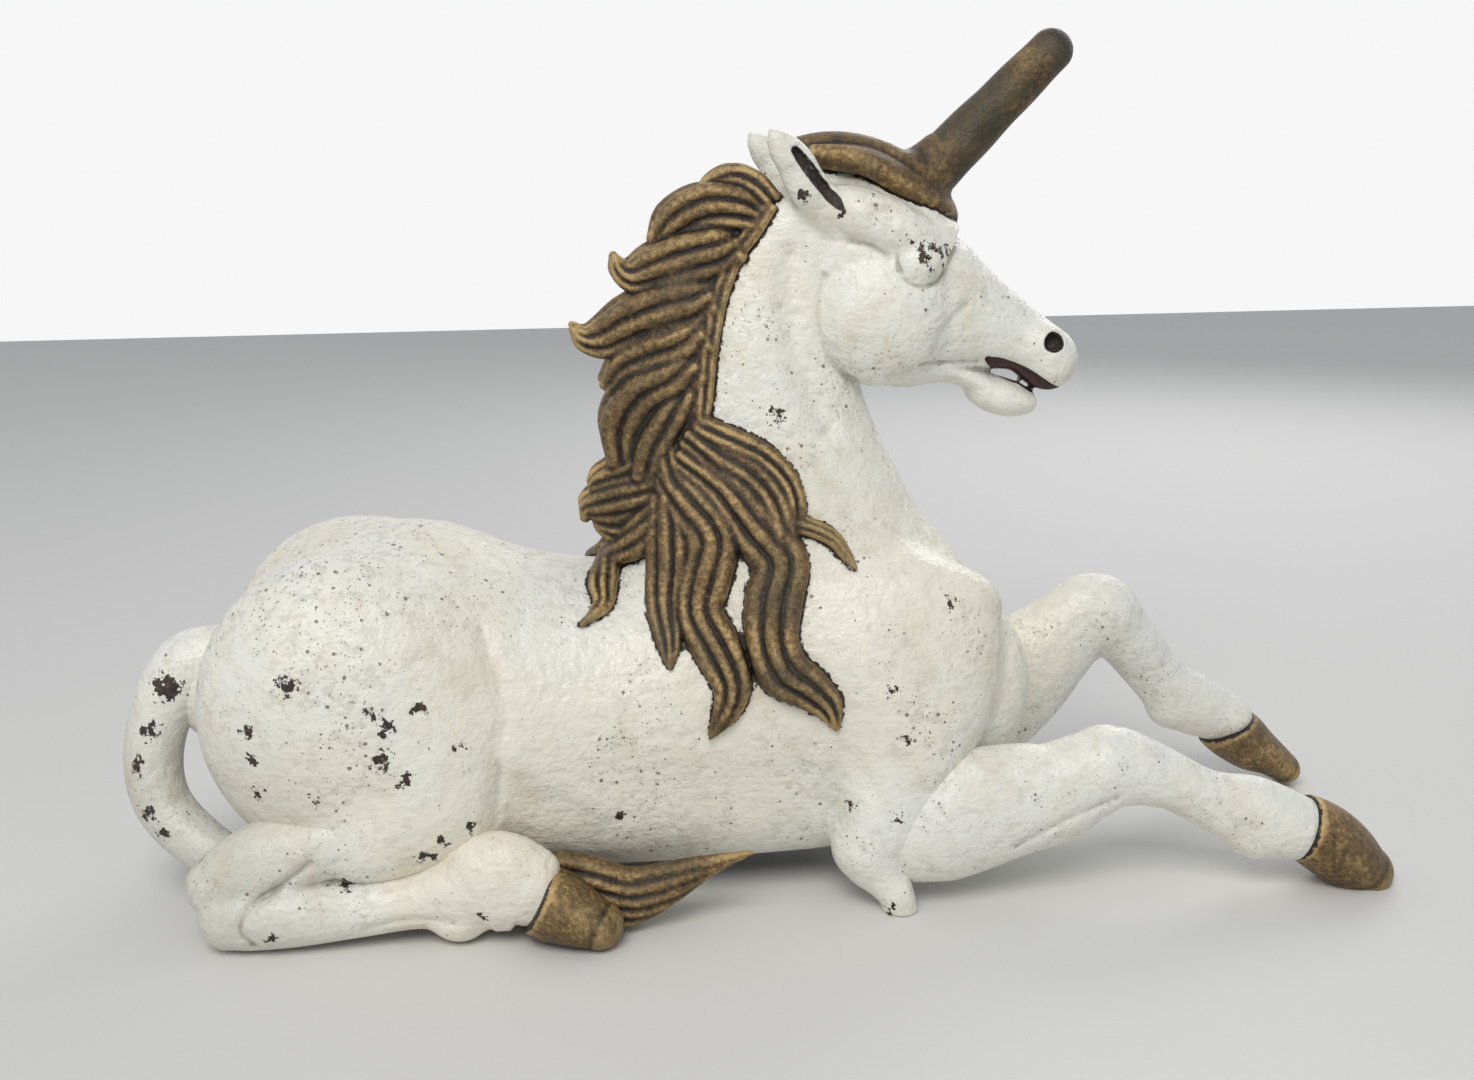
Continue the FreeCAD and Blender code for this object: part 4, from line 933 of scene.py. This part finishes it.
CREST = [(8, -6, 352, 9, 7), (-10, -7, 340, 13, 13), (-20, -8, 322, 17, 16), (-30, -9, 301, 19, 17),
         (-37, -9, 275, 18, 18), (-41, -10, 250, 18, 18), (-41, -10, 228, 19, 18), (-42, -9, 200, 19, 18),
         (-50, -9, 182, 18, 14)]


def near_skin(at):
    """The skin of the near side."""
    return body_skin(at.astype(np.float32), True)


def strands(rows, thickness, count=3):
    """The strands of one lock: its path shifted sideways in steps over the skin, so that they fill its
    width, and lifted back to the skin where the lock lies on it."""
    lying = np.array([row[2] is None for row in rows])
    path = np.array([sight(row[0], row[1], row[2] or 0) for row in rows])
    if lying.any():
        path[lying] = seen(near_skin, [row[:2] for row in rows if row[2] is None], HAIR_LIFT)
    halves = np.array([row[3] for row in rows], float)
    slopes = np.gradient(path, axis=0)
    slopes /= np.linalg.norm(slopes, axis=1)[:, None]
    away = np.array([near_skin(path + way) for way in FOUR_WAYS]).T @ FOUR_WAYS
    away /= np.linalg.norm(away, axis=1)[:, None]
    away[~lying] = (0, -1, 0)
    side = np.cross(slopes, away)
    side /= np.linalg.norm(side, axis=1)[:, None] + 1e-6
    out = []
    for number in range(count):
        shift = (number - (count - 1) / 2) * 2 / count
        places = path + side * (halves * shift)[:, None]
        for _ in range(2):
            sunk = near_skin(places) - HAIR_LIFT
            places -= away * (sunk * lying)[:, None]
        places += away * ((1 - abs(shift)) * STRAND_ARCH)
        half = halves * STRAND_OVERLAP / count
        out.append(np.column_stack([places, np.minimum(half * STRAND_HEIGHT, thickness), half]))
    return out


hair_strands = [strand for rows in TUFTS.values() for strand in strands(rows, 8)]
lock_strands = [strand for rows in LOCKS.values() for strand in strands(rows, 6)]


def hair(at):
    """Crest, tufts and locks run together just enough to leave grooves between the strands."""
    form = np.full(len(at), FAR, np.float32)
    for strand in hair_strands + lock_strands:
        form = merge(form, tube(at, strand, 6, 4), 1.3)
    form = merge(form, tube(at, CREST, 10), 2.2)
    return np.maximum(form, at[:, Y])


def mane(at):
    """The hair where it stands clear of the skin, and a little into it."""
    form = hair(at)
    near = np.abs(form) < 30
    out = form.copy()
    skin = body_skin(at[near], True)
    out[near] = np.maximum(form[near], -(skin + HAIR_SINK))
    return out


points, quads = cast(mane, (-136, -112, 70), (92, 3, 374), MANE_PITCH, HAIR_SETTLE)
mane_bend = bend_of(hair, points)
mane_skin = body_skin(points.astype(np.float32), True)
manes = []
for name, side in (("mane_right", 1), ("mane_left", -1)):
    piece = new_piece(name, points * (1, side, 1), quads, "gold_paint", name, flip=side == -1)
    note(piece, "bend", mane_bend)
    note(piece, "skin_gap", mane_skin)
    manes.append(piece)

# Forelock. A cap of hair from between the ears over the forehead to the foot of the horn,
# where it ends in a round knob.
FORELOCK_STRANDS = [
    [(26, -4, 370, 7, 6), (44, -6, 372, 9, 8), (62, -7, 370, 9, 8.5), (80, -8, 363, 9, 8.5),
     (95, -7, 351, 8, 8), (104, -5, 343, 6, 6)],
    [(30, -11, 368, 6, 5), (46, -14, 368, 7, 6.5), (64, -16, 365, 8, 7), (80, -16, 357, 8, 7),
     (94, -13, 348, 6.5, 6.5), (103, -9, 341, 6, 6)],
    [(38, -18, 370, 4, 4), (54, -20, 368, 5, 5), (68, -21, 362, 6, 6), (82, -20, 353.5, 6, 6),
     (94, -16, 347, 5, 5)]]
KNOB_CENTRE, KNOB_RADIUS = (105, 0, 338), (8, 9.5, 9)
HORN_COLLAR = [(81, 0, 352, 17, 16), (95, 0, 358, 15.5, 15.5), (104, 0, 366, 13.5, 13.5)]


def forelock_hair(at):
    """Strands run together, with the collar round the horn and the knob in front of it."""
    at = folded(at)
    form = np.full(len(at), FAR, np.float32)
    for strand in FORELOCK_STRANDS:
        form = merge(form, tube(at, strand, 12), 1.6)
    form = merge(form, tube(at, HORN_COLLAR, 12), 5)
    return merge(form, egg(at, KNOB_CENTRE, KNOB_RADIUS), 3)


def forelock(at):
    """The hair down to a little under the skin."""
    return np.maximum(forelock_hair(at), -(body_skin(at, True) + HAIR_SINK))


points, quads = cast(forelock, (14, -34, 318), (126, 34, 386), HAIR_PITCH, HAIR_SETTLE)
forelock_piece = new_piece("forelock", points, quads, "gold_paint", "forelock")
note(forelock_piece, "bend", bend_of(forelock_hair, points))
note(forelock_piece, "skin_gap", body_skin(points.astype(np.float32), True))

# Horn. A blunt cone of iron on a stud, leaning forward, with a shallow twist filed round it.
HORN_FOOT = np.array([94.0, 0.0, 355.0])
HORN_LEAN = math.radians(46)
HORN_LENGTH, HORN_SINK = 101, 10
HORN_RINGS, HORN_SIDES = 150, 96
HORN_SHARES, HORN_RADII = (0, 0.15, 0.55, 1), (14.5, 13.8, 12, 10.5)


def lathe(rings, sides, spine, radius_of):
    """A round tube: radius_of(share along, turn) measured from spine(share). Its foot is open, inside
    the forelock, and its tip comes to a point."""
    share = np.linspace(0, 1, rings)[:, None]
    turn = np.linspace(0, 2 * np.pi, sides, endpoint=False)[None]
    centre, across, up = spine(share[:, 0])
    radius = radius_of(share, turn)
    points = (centre[:, None] + across[:, None] * (radius * np.cos(turn))[..., None]
              + up[:, None] * (radius * np.sin(turn))[..., None])
    index = np.arange(rings * sides).reshape(rings, sides)
    nxt = np.roll(index, -1, axis=1)
    quads = np.stack([index[:-1], nxt[:-1], nxt[1:], index[1:]], axis=-1).reshape(-1, 4)
    return points.reshape(-1, 3), quads


def horn_spine(share):
    """A straight line up and forward, with the two ways across it."""
    way = np.array([math.sin(HORN_LEAN), 0, math.cos(HORN_LEAN)])
    along = share * (HORN_LENGTH + HORN_SINK) - HORN_SINK
    centre = HORN_FOOT + along[:, None] * way
    across = np.tile((0.0, 1.0, 0.0), (len(share), 1))
    up = np.tile(np.cross(way, (0, 1, 0)), (len(share), 1))
    return centre, across, up


def horn_fullness(share, turn):
    """Part of the radius that is there: the tip is a quarter circle, and a two-start twist runs up it."""
    rest = np.clip((1 - share) * (HORN_LENGTH + HORN_SINK) / HORN_RADII[-1], 0, 1)
    ball = np.sqrt(np.clip(1 - (1 - rest) ** 2, 0, 1))
    twist = 1 + 0.014 * np.cos(2 * turn - share * 22) * np.clip(share * 8 - 1, 0, 1)
    return ball * twist


def horn_radius(share, turn):
    """Radius at the foot, the middle and the tip, times the fullness."""
    return np.interp(share, HORN_SHARES, HORN_RADII) * horn_fullness(share, turn)


points, quads = lathe(HORN_RINGS, HORN_SIDES, horn_spine, horn_radius)
horn_piece = new_piece("horn", points, quads, "gold_paint", "horn")
share = np.repeat(np.linspace(0, 1, HORN_RINGS), HORN_SIDES)
turn = np.tile(np.linspace(0, 2 * np.pi, HORN_SIDES, endpoint=False), HORN_RINGS)
# The horn's bend follows the twist, so the gold ramp paints shade in its grooves and a highlight on its
# ridges
note(horn_piece, "bend", 0.10 + 4.2 * (horn_fullness(share, turn) - 1))
note(horn_piece, "skin_gap", np.full(len(points), 20.0))

# Hooves. Each is a cap that ends at a slanting coronet and runs down to a round toe, flat where
# it stands.
HOOVES = {
    "hoof_fore_right": ([(268, -72, 38, 14, 14), (277, -72, 33.4, 17, 16), (291.5, -73, 24.5, 20, 18),
                         (305, -73, 13.7, 20, 17), (316, -73, 5.5, 16.5, 13)],
                        (279.5, 29.6), (-0.94, 0.33), False),
    "hoof_fore_left": ([(288, 60, 43, 15, 15), (293, 60, 38.5, 17.5, 16), (300.5, 60.5, 33, 19.5, 16.5),
                        (310, 61, 25.5, 20, 15), (321, 61.5, 18.5, 18.5, 11.5), (332, 62, 10.5, 14.5, 9)],
                       (298, 40.5), (-0.43, 0.90), False),
    "hoof_hind": ([(-117, -80, 24, 13, 14), (-111.5, -82, 22, 17, 16), (-100, -85, 18.6, 19, 17.7),
                   (-89, -89, 14, 18, 14.5), (-79, -92, 10, 15, 11)],
                  (-108, 24), (-0.894, 0.447), True),
}
HOOF_PITCH = 1.3
# Room round the stations for the iron, in millimetres
HOOF_ROOM = 26


def above_coronet(at, coronet, back_up):
    """Millimetres behind and above the slanting plane of the coronet."""
    return (at[:, X] - coronet[0]) * back_up[0] + (at[:, Z] - coronet[1]) * back_up[1]


hooves = []
for name, (table, coronet, back_up, pair) in HOOVES.items():
    def hoof(at, table=table, coronet=coronet, back_up=back_up):
        form = carve(tube(at, table, 12, 8), -above_coronet(at, coronet, back_up), 2.5)
        return np.maximum(form, -at[:, Z])
    low = np.array(table)[:, :3].min(axis=0) - HOOF_ROOM
    high = np.array(table)[:, :3].max(axis=0) + HOOF_ROOM
    low[Z] = -4
    points, quads = cast(hoof, low, high, HOOF_PITCH)
    above = above_coronet(points, coronet, back_up)
    for side, suffix in ((1, "_right"), (-1, "_left")) if pair else ((1, ""),):
        label = name + suffix
        piece = new_piece(label, points * (1, side, 1), quads, "gold_paint", label, flip=side == -1)
        note(piece, "bend", bend_of(hoof, points) * 2)
        note(piece, "skin_gap", np.clip(-above, 0, 20))
        hooves.append(piece)

# Tail tuft. The gold brush of the tail, which comes out in front of the stifle: strands that
# wave forward along the floor to a thin tip.
TUFT_STRANDS = [
    [(-118, -62, 30, 6, 5), (-100, -71, 36, 6, 4.5), (-82, -74, 33.5, 6, 4.5), (-64, -76, 27.5, 5.5, 4.5),
     (-46, -77, 30, 5, 4.2), (-26, -77, 33, 4, 3.2), (-4, -77, 36.5, 1.2, 1.2)],
    [(-118, -63, 24, 6, 5), (-100, -72, 29, 6.5, 4.5), (-82, -76, 27, 6.5, 4.5), (-64, -78, 22, 6.5, 4.5),
     (-47, -79, 24.5, 5.5, 4.2), (-28, -78, 29.5, 4, 3), (-8, -77, 34.5, 1.2, 1.2)],
    [(-116, -64, 18, 6, 5), (-99, -73, 22, 6.5, 4.5), (-81, -77, 20.5, 6.5, 4.5), (-64, -79, 16.5, 6.5, 4.5),
     (-48, -80, 19, 5.5, 4), (-32, -79, 25, 3.5, 2.8), (-15, -77, 32, 1.2, 1.2)],
    [(-114, -65, 12, 6, 5), (-98, -73, 15.5, 6.5, 4.5), (-80, -77, 14, 6.5, 4.5), (-64, -79, 11, 6.5, 4.2),
     (-50, -80, 14, 5, 3.6), (-38, -79, 19, 3, 2.4), (-26, -78, 26, 1.2, 1.2)],
    [(-110, -66, 8, 6, 5), (-95, -73, 9, 6.5, 4.5), (-79, -77, 8, 6.5, 4.5), (-66, -79, 6.5, 6, 3.8),
     (-54, -79, 9.5, 4, 2.8), (-44, -79, 14, 1.5, 1.5)]]


def tuft(at):
    """Five strands run together, flat on the floor."""
    form = np.full(len(at), FAR, np.float32)
    for strand in TUFT_STRANDS:
        form = merge(form, tube(at, strand, 8), 1.4)
    return np.maximum(form, -at[:, Z])


points, quads = cast(tuft, (-140, -100, -4), (8, -44, 56), HAIR_PITCH, HAIR_SETTLE)
tuft_piece = new_piece("tail_tuft", points, quads, "gold_paint", "tail_tuft")
note(tuft_piece, "bend", bend_of(tuft, points))
note(tuft_piece, "skin_gap", np.clip(body_skin(points.astype(np.float32), True), -9, 20))

# Gold paint. Bronze powder paint on the iron: brown, rubbed bright on the ridges with a painted highlight
# there, nearly black in the grooves with patina and painted shade, and nearly black along the ragged line
# where it meets the cream.
UMBER_AND_SHADE = (0.013, 0.010, 0.008)
BROWN = (0.075, 0.048, 0.022)
BRONZE = (0.20, 0.128, 0.052)
RUBBED_AND_HIGHLIGHT = (0.46, 0.32, 0.14)
OLIVE = (0.048, 0.044, 0.029, 1)


def gold(name, shift, cool, low_cool):
    """A ramp over the bend with grain and clouds in it, painted shade in the hollows and painted highlight on
    the ridges, greener by cool and, low down, by low_cool more.
    """
    paint = Paint(name)
    times, plus, less, step, noise = paint.times, paint.plus, paint.less, paint.step, paint.noise
    above = paint.apart("ShaderNodeSeparateXYZ", paint.place)[Z]
    grain = noise(360, 4, 0.7)
    # Painted light: the bend lifts the ramp on ridges, a painted highlight, and sinks it in grooves, a
    # painted shade
    height = paint.total((paint.number("bend"), 1.25), (less(grain, 0.5), 1.5),
                         (less(noise(60, 4, 0.6), 0.5), 0.8))
    stops = [(0.0, UMBER_AND_SHADE), (1.0, RUBBED_AND_HIGHLIGHT), (0.32, BROWN), (0.66, BRONZE)]
    colour = paint.ramp(plus(height, 0.40 + shift), stops)
    green = times(step(noise(26, 3), 0.38, 0.62), step(above, 0.21, 0.13, cool, cool + low_cool))
    colour = paint.mix(green, colour, OLIVE)
    edge = plus(paint.number("skin_gap"), times(less(grain, 0.5), 5.0))
    colour = paint.mix(step(edge, 1.5, 0.5), colour, IRON)
    near, _ = paint.cells(420)
    speck = times(step(near, 0.16, 0.09), step(noise(90, 2), 0.55, 0.62))
    colour = paint.mix(speck, colour, IRON)
    relief = paint.total((grain, 0.8), (noise(150, 3), 1.0))
    return paint.finish(Base_Color=colour, Metallic=0.45, Roughness=step(grain, 0.3, 0.7, 0.34, 0.56),
                        Normal=paint.bump(relief, 0.0012))


hair_gold = gold("gold_hair", 0.0, 0.30, 0.35)
horn_gold = gold("gold_horn", -0.10, 0.75, 0.0)
hoof_gold = gold("gold_hoof", 0.05, 0.3, 0.0)
for piece in manes + [forelock_piece, tuft_piece]:
    piece.data.materials.append(hair_gold)
for piece in hooves:
    piece.data.materials.append(hoof_gold)
horn_piece.data.materials.append(horn_gold)

# Numbers that the enamel reads, on every white piece. The muzzle is all that lies beyond its start
# forward and up, and the ears are all above theirs. The left foreleg has no chips.
MUZZLE_START = (110, 230)
EARS_START = 338
LIP_CORNER, LIP_SLOPE = (134, 258), 0.5
HOLLOW_TOP, INNER_DEPTH = 240, -3.0
white = [
    (bodies["right"], lambda at: body_skin(at, True)),
    (bodies["left"], lambda at: body_skin(at, False)),
    (legs["foreleg_right"], foreleg_right),
    (legs["foreleg_left"], foreleg_left),
    (legs["hind_leg_right"], hind_leg),
    (legs["hind_leg_left"], lambda at: hind_leg(at * np.float32((1, -1, 1)))),
    (tail_piece, tail)]
for piece, form in white:
    at = places_of(piece)
    here = folded(at)
    note(piece, "bend", bend_of(form, at, 2.0))
    unchipped = piece is legs["foreleg_left"]
    note(piece, "chip_gap", np.full(len(at), NOTED_MOST) if unchipped else chip_gap(at))
    gold_gap = np.minimum(hair(here), forelock_hair(here))
    note(piece, "gold_gap", np.clip(np.where(np.isfinite(gold_gap), gold_gap, NOTED_MOST), -5, NOTED_MOST))
    muzzle = (here[:, X] > MUZZLE_START[0]) & (here[:, Z] > MUZZLE_START[1])
    note(piece, "mouth_gap", np.where(muzzle, np.clip(tube(here, MOUTH), -5, 20), 20))
    nostril = egg(here, NOSTRIL_CENTRE, np.array(NOSTRIL_RADII) * 0.92)
    ear_slit = np.where(here[:, Z] > EARS_START, tube(here, EAR_CUP) + 0.9, 20)
    note(piece, "nostril_gap", np.clip(np.where(muzzle, nostril, ear_slit), -5, 20))
    note(piece, "lip", (here[:, Z] < LIP_CORNER[1] - (here[:, X] - LIP_CORNER[0]) * LIP_SLOPE) * muzzle)
    note(piece, "inner", (form(at.astype(np.float32)) < INNER_DEPTH) & (here[:, Z] < HOLLOW_TOP))
    piece.data.materials.append(enamel_paint)

# Bolts, studs, washers, nuts and pins. Plain steel, a little brown with age, inside the
# castings. They keep the shapes that the frame brings.
STEEL = (0.36, 0.36, 0.36, 1)
STEEL_RUST = (0.16, 0.075, 0.035, 1)


def steel():
    """Grey steel with patches of brown rust."""
    paint = Paint("steel_hardware")
    rust = paint.step(paint.noise(160, 4, 0.6), 0.48, 0.66)
    colour = paint.mix(paint.times(rust, 0.7), STEEL, STEEL_RUST)
    turned = paint.noise(900, 2)
    return paint.finish(Base_Color=colour, Metallic=0.9, Roughness=paint.step(turned, 0.3, 0.7, 0.3, 0.55),
                        Normal=paint.bump(turned, 0.0002, 0.5))


steel_paint = steel()
HARDWARE = ("horn_stud", "tail_bolt", "tuft_stud", "tie_bolts", "tie_washers", "tie_nuts", "leg_bolts",
            "hoof_studs", "mane_pins")
for name in HARDWARE:
    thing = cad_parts[name]
    thing.data.materials.clear()
    thing.data.materials.append(steel_paint)
